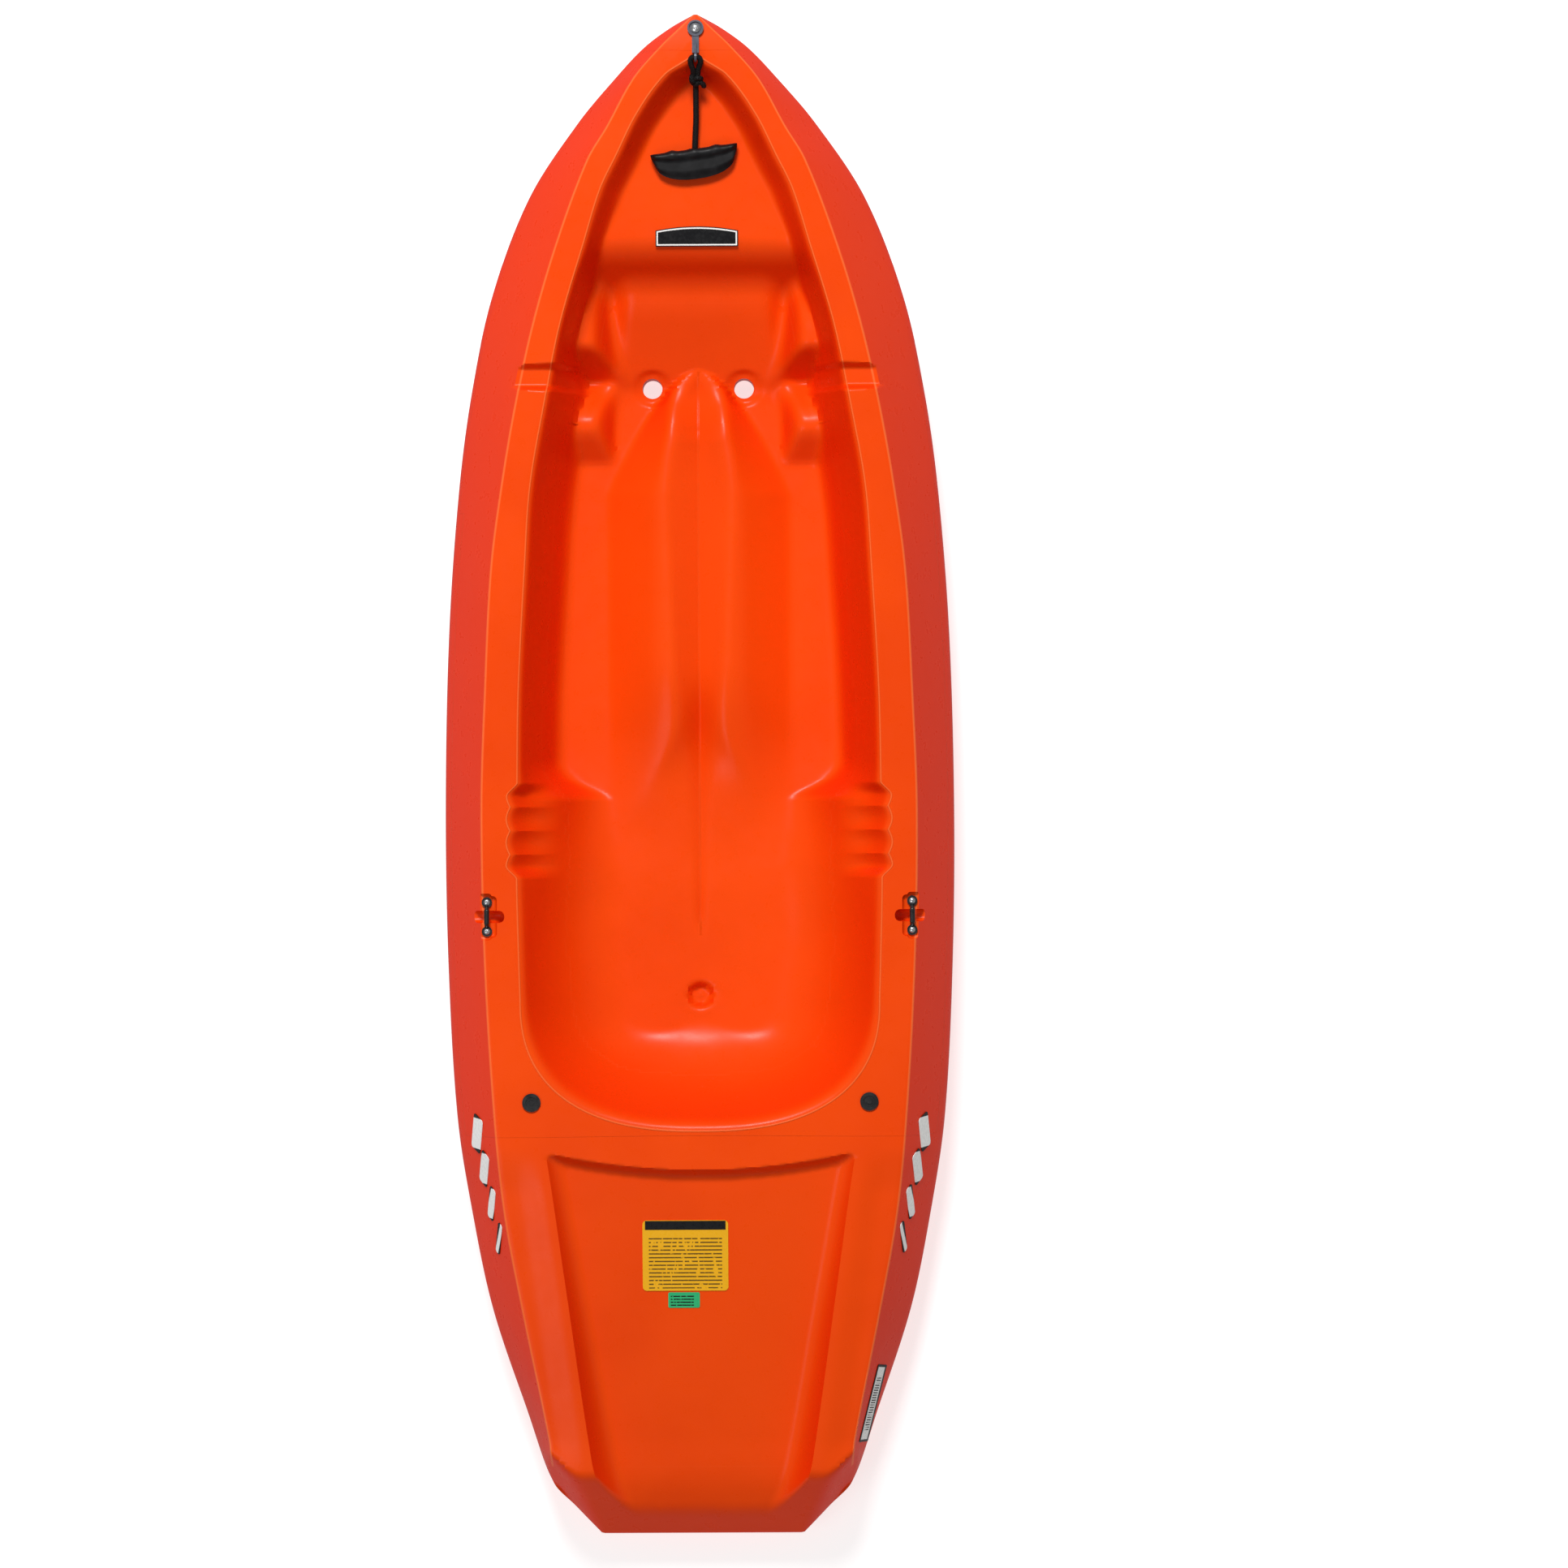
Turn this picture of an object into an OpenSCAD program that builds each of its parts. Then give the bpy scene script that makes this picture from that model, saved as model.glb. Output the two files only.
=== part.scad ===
/* [Hull] */
// Length of the hull from stern to bow
hull_length = 1829; // [1500:1:2200]
// Greatest width of the hull, at the chine
hull_beam = 619; // [520:1:740]
// Height of the bow deck above the keel
hull_height = 226; // [190:1:280]
// Thickness of the blow-moulded wall
wall = 4; // [3:0.1:5]

/* [Scuppers] */
// Diameter of each drain hole through the foot well
scupper_bore = 24; // [18:0.5:28]
// Distance between the two drain holes
scupper_spacing = 111; // [100:1:125]
// Wall of the tube around each drain hole
scupper_tube_wall = 4.5; // [3.5:0.1:7]

/* [Pad eyes] */
// Distance between the two screws of a pad eye
eye_pitch = 35; // [32:0.5:40]
// Diameter of a pad eye's round ends
eye_end = 12.4; // [11:0.1:14]
// Thickness of a pad eye's ends
eye_foot = 3; // [2:0.1:4]
// Diameter of a pad eye's bar
eye_bar = 6.2; // [5:0.1:7.5]
// Diameter of the screws in the pad eyes
eye_screw = 4.2; // [3.5:0.1:5]
// Length of those screws below the head
eye_screw_length = 16; // [12:0.5:19]

/* [Tow tab] */
// Outside diameter of the tow tab's ring
tab_ring = 19.4; // [17:0.2:22]
// Thickness of the tow tab
tab_thickness = 3; // [2:0.1:4]
// Width of the tow tab's tongue
tab_tongue = 8.2; // [7:0.1:10]
// Diameter of the tow tab's screw
tab_screw = 5; // [4:0.1:6]

/* [Rope and grip] */
// Diameter of the tow rope
rope_d = 7; // [5.5:0.1:7.5]
// Length of the grip from end to end
grip_length = 106; // [90:1:118]
// Depth of the grip from its straight edge to its belly
grip_depth = 36; // [30:0.5:40]
// Thickness of the grip
grip_thickness = 17; // [14:0.5:19]

/* [Deck plugs] */
// Diameter of a plug's flange
plug_flange = 22; // [19:0.5:25]
// Diameter of a plug's stem
plug_stem = 15; // [13:0.5:16]

/* [Hidden] */

sx = hull_beam / 619;
sy = hull_length / 1829;
sz = hull_height / 226;
// space round a screw or stem in its hole, and round the rope in its hole
fit_gap = 0.3;
rope_gap = 0.5;
orange = [0.93, 0.28, 0.06];
black = [0.05, 0.05, 0.05];

// ---- small helpers -------------------------------------------------------
function clamp(v, a = 0, b = 1) = max(a, min(b, v));
function ease(t) = let (u = clamp(t)) u * u * (3 - 2 * u);
function mix(a, b, t) = a + (b - a) * t;
function smax(a, b, r) = max(a, b) + pow(max(r - abs(a - b), 0), 2) / (4 * r);
function smin(a, b, r) = -smax(-a, -b, r);
function at(p, v, k = 0) = (k >= len(p) - 2 || v < p[k + 1][0]) ? k : at(p, v, k + 1);
function lean(p, k) = let (a = p[max(k - 1, 0)], b = p[min(k + 1, len(p) - 1)])
  (b[1] - a[1]) / (b[0] - a[0]);
// a smooth line through a few points
function curve(p, v) = let (k = at(p, v), h = p[k + 1][0] - p[k][0],
    t = clamp((v - p[k][0]) / h))
  p[k][1] * (1 + 2 * t) * pow(1 - t, 2) + h * lean(p, k) * t * pow(1 - t, 2)
  + p[k + 1][1] * t * t * (3 - 2 * t) + h * lean(p, k + 1) * t * t * (t - 1);

// ---- lines of the hull, half widths and heights by station ----------------
// widest line, at the chine
chine_w = [[-914.5, 123], [-909, 128], [-881, 154.5], [-853, 181], [-760, 215], [-640, 255], [-526, 279],
  [-409, 297], [-234, 307], [-40, 310], [175, 305], [351, 292], [468, 276], [585, 250],
  [702, 204], [790, 144], [842, 98], [878, 62], [901, 29], [914.5, 3]];
// outer edge of the deck rail
rail_w = [[-914.5, 117], [-909, 122], [-881, 148], [-853, 175], [-793, 184], [-640, 214], [-530, 234],
  [-429, 245], [-234, 257], [-39, 261], [107, 256], [253, 248], [351, 235], [448, 218],
  [546, 196], [643, 167], [741, 130], [781, 106], [838, 74], [876, 41], [898, 18], [914.5, 1]];
// inner edge of the rail, the cockpit's rim
rim_w = [[-263, 215.5], [-210, 217], [-120, 219], [0, 218], [107, 216], [253, 208], [351, 201],
  [448, 184], [546, 164], [643, 135], [707, 115], [746, 96], [796, 71], [842, 37], [868, 1],
  [915, 0]];
// edge of the sunk aft deck, carried on to the rim
aft_w = [[-914.5, 104], [-889, 110], [-853, 124], [-819, 133], [-600, 164], [-447, 186],
  [-370, 203], [-263, 215.5]];
rail_z = [[-914.5, 120], [-853, 146], [-793, 154], [-640, 172], [-530, 183], [-430, 189],
  [-234, 188], [0, 188], [253, 193], [448, 201], [643, 211], [781, 219], [868, 225], [914.5, 226]];
chine_z = [[-914.5, 50], [-853, 62], [-760, 72], [-600, 78], [-300, 80], [100, 80], [448, 88],
  [643, 108], [781, 141], [838, 165], [880, 186], [914.5, 204]];
keel_z = [[-914.5, 32], [-850, 18], [-760, 8], [-600, 1], [-400, 0], [0, 0], [330, 0], [500, 6],
  [643, 22], [760, 50], [838, 86], [880, 120], [905, 156], [914.5, 180]];

// finger scallops along the rim, beside the seat
function scallop(y) = (y < -4 && y > -118) ?
  9 * ease((-4 - y) / 8) * ease((y + 118) / 8) + 4 * abs(sin(180 * (y + 4) / 28.5)) : 0;
function rim(y) = curve(rim_w, y) + scallop(y);
function rim_lean(y) = (curve(rim_w, y + 2) - curve(rim_w, y - 2)) / 4;
// distance inside the cockpit's rim
function inside(a, y) = y > -263 ? (rim(y) - a) / sqrt(1 + pow(rim_lean(y), 2)) :
  let (n = 2.45, u = max(a, 0.5) / 215.5, v = (-263 - y) / 158.5,
       q = max(pow(pow(u, n) + pow(v, n), 1 / n), 0.05),
       g = pow(q, 1 - n) * norm([pow(u, n - 1) / 215.5, pow(v, n - 1) / 158.5]))
  (1 - q) / g;
function wall_k(a, y) = y > -85 ? 3.3 + 1.6 * ease((y - 470) / 60) * ease((640 - y) / 40)
  - 0.8 * ease((y - 640) / 60) : mix(3.3, 1.75, ease((-85 - y) / 75))
  - 0.3 * ease((-263 - y) / 90);
function wall_m(a, y) = mix(9, 52, ease((-250 - y) / 90));
function drop(a, y) = let (d = inside(a, y), m = wall_m(a, y), k = wall_k(a, y))
  d <= 0 ? 0 : d < m ? k * d * d / (2 * m) : k * (d - m / 2);

// ridges between the legs, with a groove between them
function ridge(a, y) = let (
    e = mix(30, 111, ease((500 - y) / 150)), c = e * 0.5,
    outer = 42 * (e - a) / (e - c),
    inner = 20 + 20 * a / mix(28, 12, clamp((350 - y) / 390)) + 30 * ease((-20 - y) / 180),
    nose = 0.9 * (497 - y),
    aft = 0.35 * (y - 95 + 1.1 * a + 0.012 * a * a))
  smax(smin(smin(smin(outer, inner, 9), 42, 9), smin(nose, aft, 8), 8), 0, 6);
// foot well floor and its steps
function block(a, y) = let (w = mix(76, 91, clamp((y - 497) / 98)))
  smin(smin(75 + 0.47 * (y - 497), 117, 8), 117 - 2.6 * (a - w), 8);
function bulkhead(y) = smin(165 + 1.4 * (y - 634), 166 + 0.055 * (y - 640), 10);
function ledge(a, y, a0, y0, z0, k) =
  smin(smin(z0, z0 + k * (y - y0), 6), z0 + 3 * (a - a0), 6);
function floor_z(a, y) = let (
    pan = mix(60, 76, ease((60 - y) / 200)),
    feet = smax(smax(block(a, y), bulkhead(y), 8),
      smax(ledge(a, y, 126, 528, 130, 1.6), ledge(a, y, 114, 426, 95, 0.85), 6), 6),
    dish = 4 * ease(1 - (norm([a - scupper_spacing / 2 / sx, y - 474]) - 16) / 8),
    dimple = 7 * ease(1 - (norm([a, y + 261]) - 11) / 8))
  (y > 380 ? smax(pan, feet, 6) : pan) + ridge(a, y) - dish - dimple;

// sunk aft deck and the strips beside it
function aft_sink(a, y) = let (
    side = curve(aft_w, y) - a,
    front = -447 - 21 * (1 - pow(a / 185, 2)) - y,
    d = smin(side, front, 10))
  mix(13, 44, clamp((-447 - y) / 430)) * ease(d / 14);
// the transom and the slanted corners beside it
function stern(a, y) = max(curve(chine_z, y),
  smin(50 + 2.2 * (y + 914.5), 56 + 3.8 * (0.726 * (181 - a) + 0.688 * (y + 853)), 6));
function strip(a, y) = 5 * ease((-440 - y) / 60) * clamp((a - curve(aft_w, y) - 12) / 24)
  * ease((y + 850) / 60);
function groove(a, y) = 12 * ease(1.9 - abs(y - 482.6) / 9.5) * ease((a - 150) / 12)
  * ease((242 - a) / 22);
function plane_z(a, y) = let (r = curve(rail_w, y), b = curve(chine_w, y),
    t = clamp((a - r) / max(b - r, 1)), R = curve(rail_z, y), C = curve(chine_z, y))
  a <= r ? R - 0.07 * max(a - r + 30, 0) * ease((y - 100) / 200)
    : mix(R - 2.1 * ease((y - 100) / 200), C, 0.9 * t + 0.1 * t * t);
function top_z(a, y) = let (
    base = plane_z(a, y) - groove(a, y),
    pit = y > -430 && y < 870 ? max(floor_z(a, y), base - drop(a, y))
      + pow(max(10 - abs(floor_z(a, y) - base + drop(a, y)), 0), 2) / 40 : base,
    deck = inside(a, y) > 0 && y > -423 && y < 869 ? min(pit, base) : base,
    aft = y < -440 ? deck - aft_sink(a, y) - strip(a, y) : deck)
  y < -780 ? smin(aft, stern(a, y), 6) : aft;
function bottom_z(a, y) = let (b = curve(chine_w, y), t = clamp(a / max(b, 1)),
    v = ease((y - 350) / 450), K = max(curve(keel_z, y), 0), C = curve(chine_z, y))
  K + (C - K) * mix(pow(max(t - 0.3, 0) / 0.7, 3.2), 0.25 * t + 0.75 * pow(t, 1.25), v)
  + 9 * ease(1.6 - abs(a - 0.42 * b) / 18) * ease((y + 760) / 60) * ease((560 - y) / 80);

// ---- hull surface ----------------------------------------------------------
spans = [[-914.5, -900, 1], [-900, -850, 4], [-850, -780, 3], [-780, -500, 5], [-500, -440, 6],
  [-440, -380, 5], [-380, -280, 6], [-280, -120, 6], [-120, -4, 8], [-4, 380, 10],
  [380, 430, 4], [430, 540, 12], [540, 580, 3], [580, 650, 7], [650, 820, 6], [820, 890, 6],
  [890, 914.5, 3]];
stations = concat([for (s = spans) for (k = [0:s[2] - 1]) mix(s[0], s[1], k / s[2])], [914.5]);
deck_u = [0, 0.09, 0.17, 0.25, 0.34, 0.5, 0.64, 0.84, 1];
bottom_u = [1, 0.95, 0.85, 0.68, 0.52, 0.42, 0.3, 0];
function inner_w(y) = y < -263 ? curve(aft_w, y) : max(rim(y), 0.35 * curve(rail_w, y));
// width of the cockpit's side wall in plan
function wall_w(y) = y < -263 ? mix(30, 66, clamp((y + 430) / 167)) :
  y > 640 ? min(23 * sqrt(1 + pow(rim_lean(y), 2)), 0.7 * inner_w(y)) :
  y > 430 ? mix(36, 23, ease((y - 430) / 120)) : mix(66, 43, ease((y + 210) / 125));
// half widths of the deck's grid lines at one station
function deck_cols(y) = let (i = inner_w(y), f = i - wall_w(y), r = curve(rail_w, y),
    b = curve(chine_w, y))
  concat([for (u = deck_u) u * f], [for (u = [0.35, 0.75, 1]) mix(f, i, u)],
    [for (u = [0.3, 0.7, 1]) mix(i, r, u)],
    [for (u = [0.04, 0.5, 1]) mix(r, b, u)]);
function ring(y) = let (c = deck_cols(y), n = len(c), b = curve(chine_w, y))
  concat(
    [for (k = [n - 1:-1:1]) [-c[k], y, top_z(c[k], y)]], [for (v = c) [v, y, top_z(v, y)]],
    [for (k = [1:len(bottom_u) - 1]) [bottom_u[k] * b, y, bottom_z(bottom_u[k] * b, y)]],
    [for (k = [len(bottom_u) - 2:-1:1]) [-bottom_u[k] * b, y, bottom_z(bottom_u[k] * b, y)]]);
function skin(rings) = let (m = len(rings), n = len(rings[0]))
  concat([for (j = [0:m - 2]) for (k = [0:n - 1]) each
      let (a = j * n + k, b = j * n + (k + 1) % n) [[b, a, b + n], [b + n, a, a + n]]],
    [for (k = [1:n - 2]) [0, k, k + 1]],
    [for (k = [1:n - 2]) [(m - 1) * n, (m - 1) * n + k + 1, (m - 1) * n + k]]);
function stretch(p) = [p[0] * sx, p[1] * sy, p[2] * sz];
module shell(rings) {
  pts = [for (r = rings) each [for (p = r) stretch(p)]];
  polyhedron(points = pts, faces = skin(rings), convexity = 10);
}
// inside of the double wall
core_y = concat([-898, -872, -845], [for (k = [0:5]) -800 + 62 * k], [-462, -440,
  -400, -355, -310, -260, -230, -200, -165, -130, -112, -10, 12, 60, 140, 220, 300,
  350, 385, 415, 445, 475, 505, 540, 570, 600, 640, 690, 740, 785, 820, 848, 868]);
core_u = [0, 0.17, 0.31, 0.39, 0.47, 0.56, 0.64, 0.72, 0.81, 0.9, 1];
// lowest deck and highest bottom near a point, so that the wall is never thinner than it should be
function low(a, y) = min([for (p = [-12, -6, 0, 6, 12]) for (q = [-16, -6, 0, 6, 16])
  top_z(abs(a + p), y + q)]) - 0.9 * wall - 1.5;
function high(a, y) = max([for (p = [-1, 0, 1]) for (q = [-1, 1]) bottom_z(abs(a + 5 * p), y + 6 * q)])
  + 0.8 * wall;
function core_ring(y) = let (b = curve(chine_w, y) - 11, n = len(core_u),
    f = function(u) let (a = u * b, lo = high(a, y)) [a, lo, max(low(a, y), lo + 1)])
  concat([for (k = [n - 1:-1:1]) let (q = f(core_u[k])) [-q[0], y, q[2]]],
    [for (u = core_u) let (q = f(u)) [q[0], y, q[2]]],
    [for (k = [n - 1:-1:1]) let (q = f(core_u[k])) [q[0], y, q[1]]],
    [for (k = [0:n - 1]) let (q = f(core_u[k])) [-q[0], y, q[1]]]);

// ---- places on the hull ------------------------------------------------------
eye_x = 255 * sx;
eye_y = -163.7 * sy;
eye_z = 181.5 * sz;
tab_y = 897 * sy;
tab_z = 225.6 * sz;
plug_x = 202.5 * sx;
plug_y = -386.6 * sy;
plug_z = top_z(202.5, -386.6) * sz;
// half lengths of the pad eye's pocket, near the seat and at the rail's edge, and the bar's half slot
pocket_in = eye_pitch / 2 + 4.5;
pocket_out = eye_pitch / 2 + 10.5;
slot_half = eye_bar / 2 + 4.2;
module pad_eye_cuts() {
  for (t = [-1, 1]) translate([eye_x - 6, eye_y + t * pocket_in, eye_z])
    cylinder(h = 40, r = 6, $fn = 48);
  translate([eye_x - 12, eye_y - pocket_in, eye_z]) cube([12, 2 * pocket_in, 40]);
  translate([eye_x - 6, eye_y - pocket_out, eye_z]) cube([40, 2 * pocket_out, 40]);
  translate([eye_x - 14, eye_y, eye_z - 16]) cylinder(h = 60, r = slot_half, $fn = 48);
  translate([eye_x - 14, eye_y - slot_half, eye_z - 16]) cube([50, 2 * slot_half, 60]);
}
module kayak_hull() {
  color(orange) difference() {
    shell([for (y = stations) ring(y)]);
    difference() {
      shell([for (y = core_y) core_ring(y)]);
      for (s = [-1, 1]) translate([s * scupper_spacing / 2, 474 * sy, -20])
        cylinder(h = 160, d = scupper_bore + 2 * scupper_tube_wall, $fn = 64);
      for (s = [-1, 1]) translate([s * eye_x - 28, eye_y - pocket_out - 5, eye_z - eye_screw_length - 8])
        cube([56, 2 * pocket_out + 10, 60]);
      for (s = [-1, 1]) translate([s * plug_x, plug_y, plug_z - 14])
        cylinder(h = 30, d = plug_stem + 9, $fn = 48);
    }
    for (s = [-1, 1]) translate([s * scupper_spacing / 2, 474 * sy, -20])
      cylinder(h = 160, d = scupper_bore, $fn = 64);
    for (s = [-1, 1]) {
      mirror([s < 0 ? 1 : 0, 0, 0]) pad_eye_cuts();
      for (t = [-1, 1]) translate([s * eye_x, eye_y + t * eye_pitch / 2,
          eye_z - eye_screw_length - 1])
        cylinder(h = 30, d = eye_screw + 2 * fit_gap, $fn = 32);
      translate([s * plug_x, plug_y, plug_z - 20]) cylinder(h = 40, d = plug_stem + 2 * fit_gap, $fn = 48);
      translate([s * plug_x, plug_y, plug_z - fit_gap]) cylinder(h = 20, d = plug_flange + 2, $fn = 48);
    }
    translate([0, tab_y, tab_z - 18]) cylinder(h = 30, d = tab_screw + 2 * fit_gap, $fn = 32);
    translate([0, tab_y, tab_z]) cylinder(h = 20, d = tab_ring + 8, $fn = 64);
    translate([-8, tab_y - 45, tab_z]) cube([16, 45, 20]);
  }
}

// ---- pad eyes ------------------------------------------------------------------
module pad_eye() {
  color(black) difference() {
    union() {
      for (t = [-1, 1]) {
        translate([0, t * eye_pitch / 2, 0]) cylinder(h = eye_foot, d = eye_end, $fn = 48);
        hull() {
          translate([0, t * (eye_pitch / 2 - 6.2), eye_foot * 0.6]) sphere(d = eye_bar * 0.9, $fn = 32);
          translate([0, t * 7, 9.5]) sphere(d = eye_bar, $fn = 32);
        }
      }
      translate([0, -7, 9.5]) rotate([-90, 0, 0]) cylinder(h = 14, d = eye_bar, $fn = 32);
    }
    translate([-20, -40, -20]) cube([40, 80, 20]);
    for (t = [-1, 1]) translate([0, t * eye_pitch / 2, -1]) {
      cylinder(h = 12, d = eye_screw + 2 * fit_gap, $fn = 32);
      translate([0, 0, eye_foot + 1]) cylinder(h = 12, d = 8, $fn = 32);
    }
  }
}
module pan_screw(d, l, head) {
  color([0.75, 0.76, 0.78]) {
    translate([0, 0, -l]) cylinder(h = l + 0.5, d = d, $fn = 32);
    difference() {
      intersection() {
        cylinder(h = 0.36 * head, d = head, $fn = 48);
        translate([0, 0, 0.36 * head - 0.75 * head]) sphere(r = 0.75 * head, $fn = 64);
      }
      for (q = [0, 90]) rotate([0, 0, q])
        translate([-0.3 * head, -0.06 * head, 0.2 * head]) cube([0.6 * head, 0.12 * head, head]);
    }
  }
}
module place_eye(s) { translate([s * eye_x, eye_y, eye_z]) children(); }
module eye_screws() {
  for (t = [-1, 1]) translate([0, t * eye_pitch / 2, eye_foot])
    pan_screw(eye_screw, eye_screw_length, 7.2);
}

// ---- tow tab -----------------------------------------------------------------
hinge_y = tab_y - 34.5;
hinge_z = tab_z + 6.8;
lug_r = rope_d / 2 + 2.8;
lug_w = 2.6;
module tow_tab() {
  color([0.29, 0.29, 0.34]) difference() {
    union() {
      translate([0, tab_y, tab_z]) cylinder(h = tab_thickness + 1.2, d = tab_ring, $fn = 64);
      translate([-tab_tongue / 2, hinge_y + 5, tab_z])
        cube([tab_tongue, tab_y - hinge_y - 8, tab_thickness]);
      translate([-lug_w / 2, hinge_y, hinge_z]) rotate([0, 90, 0])
        cylinder(h = lug_w, r = lug_r, $fn = 48);
      translate([-lug_w / 2, hinge_y, tab_z]) cube([lug_w, 16, tab_thickness + 3]);
    }
    translate([0, tab_y, tab_z + tab_thickness - 1]) cylinder(h = 9, d = tab_ring - 4, $fn = 64);
    translate([0, tab_y, tab_z - 1]) cylinder(h = 9, d = tab_screw + 2 * fit_gap, $fn = 32);
    translate([-9, hinge_y, hinge_z]) rotate([0, 90, 0])
      cylinder(h = 18, d = rope_d + 2 * rope_gap, $fn = 48);
  }
}
module tow_tab_screw() {
  translate([0, tab_y, tab_z + tab_thickness - 1]) pan_screw(tab_screw, 16, 11);
}

// ---- tow rope ------------------------------------------------------------------
// the bight through the tab's lug and the knot that closes it hang down the well's front wall
hang = 43.8;
bight_r = rope_d / 2 + 2.4;
knot_r = 9.8;
knot_at = [0, hinge_y - 34.5 * cos(hang), hinge_z - 34.5 * sin(hang)];
module tow_knot() {
  color([0.09, 0.09, 0.1]) translate([0, hinge_y, hinge_z]) rotate([hang, 0, 0]) {
    translate([0, -bight_r, 0]) rotate_extrude($fn = 64) translate([bight_r, 0])
      circle(d = rope_d, $fn = 32);
    translate([0, -2 * bight_r, 0]) rotate([90, 0, 0])
      cylinder(h = 34.5 - 2 * bight_r - knot_r * 0.5, r = rope_d * 0.6, $fn = 32);
    translate([0, -34.5, 0]) sphere(r = knot_r, $fn = 64);
  }
}
// the rope from the knot, through the well, to the middle of the grip
rope_line = [[0, 830.5, 201.7], [0, 826, 198.6], [0, 821, 196], [0, 815, 193.6], [0, 808, 191.4],
  [0, 801, 189.6], [0, 794, 188], [-0.2, 787, 186.8], [-0.5, 781, 185.8], [-0.8, 775, 185],
  [-1.1, 769, 184.3], [-1.4, 763, 183.7], [-1.7, 757, 183.2], [-1.9, 752, 182.8],
  [-2, 747, 182.5]];
function along(p, t) = let (k = min(floor(t), len(p) - 2), u = t - k,
    a = p[max(k - 1, 0)], b = p[k], c = p[k + 1], d = p[min(k + 2, len(p) - 1)])
  b + 0.5 * u * ((c - a) + u * ((2 * a - 5 * b + 4 * c - d) + u * (3 * (b - c) + d - a)));
function unit(v) = v / norm(v);
module tube(line, d, steps, sides) {
  n = (len(line) - 1) * steps;
  mid = [for (k = [0:n]) along(line, k / steps)];
  way = [for (k = [0:n]) unit(mid[min(k + 1, n)] - mid[max(k - 1, 0)])];
  // one side direction, carried along without twist
  out = [for (k = 0, s = unit(cross(way[0], [0.3, 0.1, 1])); k <= n; k = k + 1,
    s = k <= n ? unit(s - (s * way[k]) * way[k]) : s) s];
  polyhedron(points = [for (k = [0:n]) for (q = [0:sides - 1]) let (w = cross(way[k], out[k]))
      mid[k] + d / 2 * (cos(360 * q / sides) * out[k] + sin(360 * q / sides) * w)],
    faces = concat(
      [for (k = [0:n - 1]) for (q = [0:sides - 1]) each let (r = (q + 1) % sides, a = k * sides)
        [[a + q, a + r, a + sides + r], [a + q, a + sides + r, a + sides + q]]],
      [[for (q = [sides - 1:-1:0]) q]], [[for (q = [0:sides - 1]) n * sides + q]]));
}
function rope_at(p) = [p[0], p[1] + hinge_y - 862.5, p[2] + hinge_z - 232.4];
module tow_rope() {
  color([0.09, 0.09, 0.1]) tube([for (p = rope_line) rope_at(p)], rope_d, 1, 12);
}

// ---- grip --------------------------------------------------------------------
pivot = rope_at(rope_line[len(rope_line) - 1]);
grip_rest = 7.7;
grip_swing = 12;
mouth = rope_d / 2 + rope_gap;
module grip() {
  R = (grip_length * grip_length / 4 + grip_depth * grip_depth) / (2 * grip_depth);
  color(black) translate(pivot) difference() {
    rotate([0, 0, grip_rest]) union() {
      intersection() {
        translate([0, 9 - grip_depth + R, -grip_thickness / 2])
          cylinder(h = grip_thickness, r = R, $fn = 128);
        translate([-grip_length / 2 + 2, 9 - grip_depth - 1, -grip_thickness])
          cube([grip_length - 4, grip_depth + 1, 2 * grip_thickness]);
        translate([-grip_length, 9 - grip_depth / 2 + 2, 0]) rotate([0, 90, 0])
          cylinder(h = 2 * grip_length, r = grip_depth * 0.56, $fn = 96);
      }
      for (q = [-26.5, 0, 26.5]) translate([q, 9, -grip_thickness * 0.36])
        cylinder(h = grip_thickness * 0.72, r = q == 0 ? 8.6 : 3.4, $fn = 48);
    }
    // round pocket that the rope's end turns in, and the mouth that the rope leaves by
    translate([0, 0, -mouth]) cylinder(h = 2 * mouth, r = mouth + 0.8, $fn = 48);
    rotate([-90, 0, 0])
      cylinder(h = 24, r1 = mouth, r2 = mouth + 24 * tan(grip_swing + 2), $fn = 48);
  }
}

// ---- deck plugs --------------------------------------------------------------
module deck_plug() {
  color(black) difference() {
    union() {
      cylinder(h = 2.4, d = plug_flange, $fn = 64);
      translate([0, 0, -9]) cylinder(h = 10, d = plug_stem, $fn = 48);
    }
    difference() {
      translate([0, 0, 0.8]) cylinder(h = 5, d = 14, $fn = 48);
      cylinder(h = 2.2, d = 6.5, $fn = 32);
    }
  }
}

// ---- labels and graphics ---------------------------------------------------------
module card(w, l, r, h) {
  linear_extrude(height = h) union() {
    square([w - 2 * r, l], center = true);
    square([w, l - 2 * r], center = true);
    for (a = [-1, 1]) for (b = [-1, 1]) translate([a * (w / 2 - r), b * (l / 2 - r)])
      circle(r = r, $fn = 32);
  }
}
// lays a card on the deck, tilted to the surface there
module lay(x, y, turn, h, da = 12, dy = 12) {
  zx = (top_z(abs(x) + da, y) - top_z(abs(x) - da, y)) * sz / (2 * da * sx) * sign(x + 0.001);
  zy = (top_z(abs(x), y + dy) - top_z(abs(x), y - dy)) * sz / (2 * dy * sy);
  translate([x * sx, y * sy, top_z(abs(x), y) * sz + h]) rotate([atan(zy), 0, 0])
    rotate([0, -atan(zx * cos(atan(zy))), 0]) rotate([0, 0, turn]) children();
}
module bow_badge() {
  color(black) lay(0, 652, 0, 0.35, 12, 10) linear_extrude(height = 1) intersection() {
    square([99, 24], center = true);
    translate([0, -240]) circle(r = 252, $fn = 256);
  }
}
module caution_label() {
  color([0.93, 0.78, 0.1]) lay(-0.01, -572, 0, 0.2) translate([-19, 0, 0]) card(103, 86.5, 5, 0.6);
}
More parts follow.
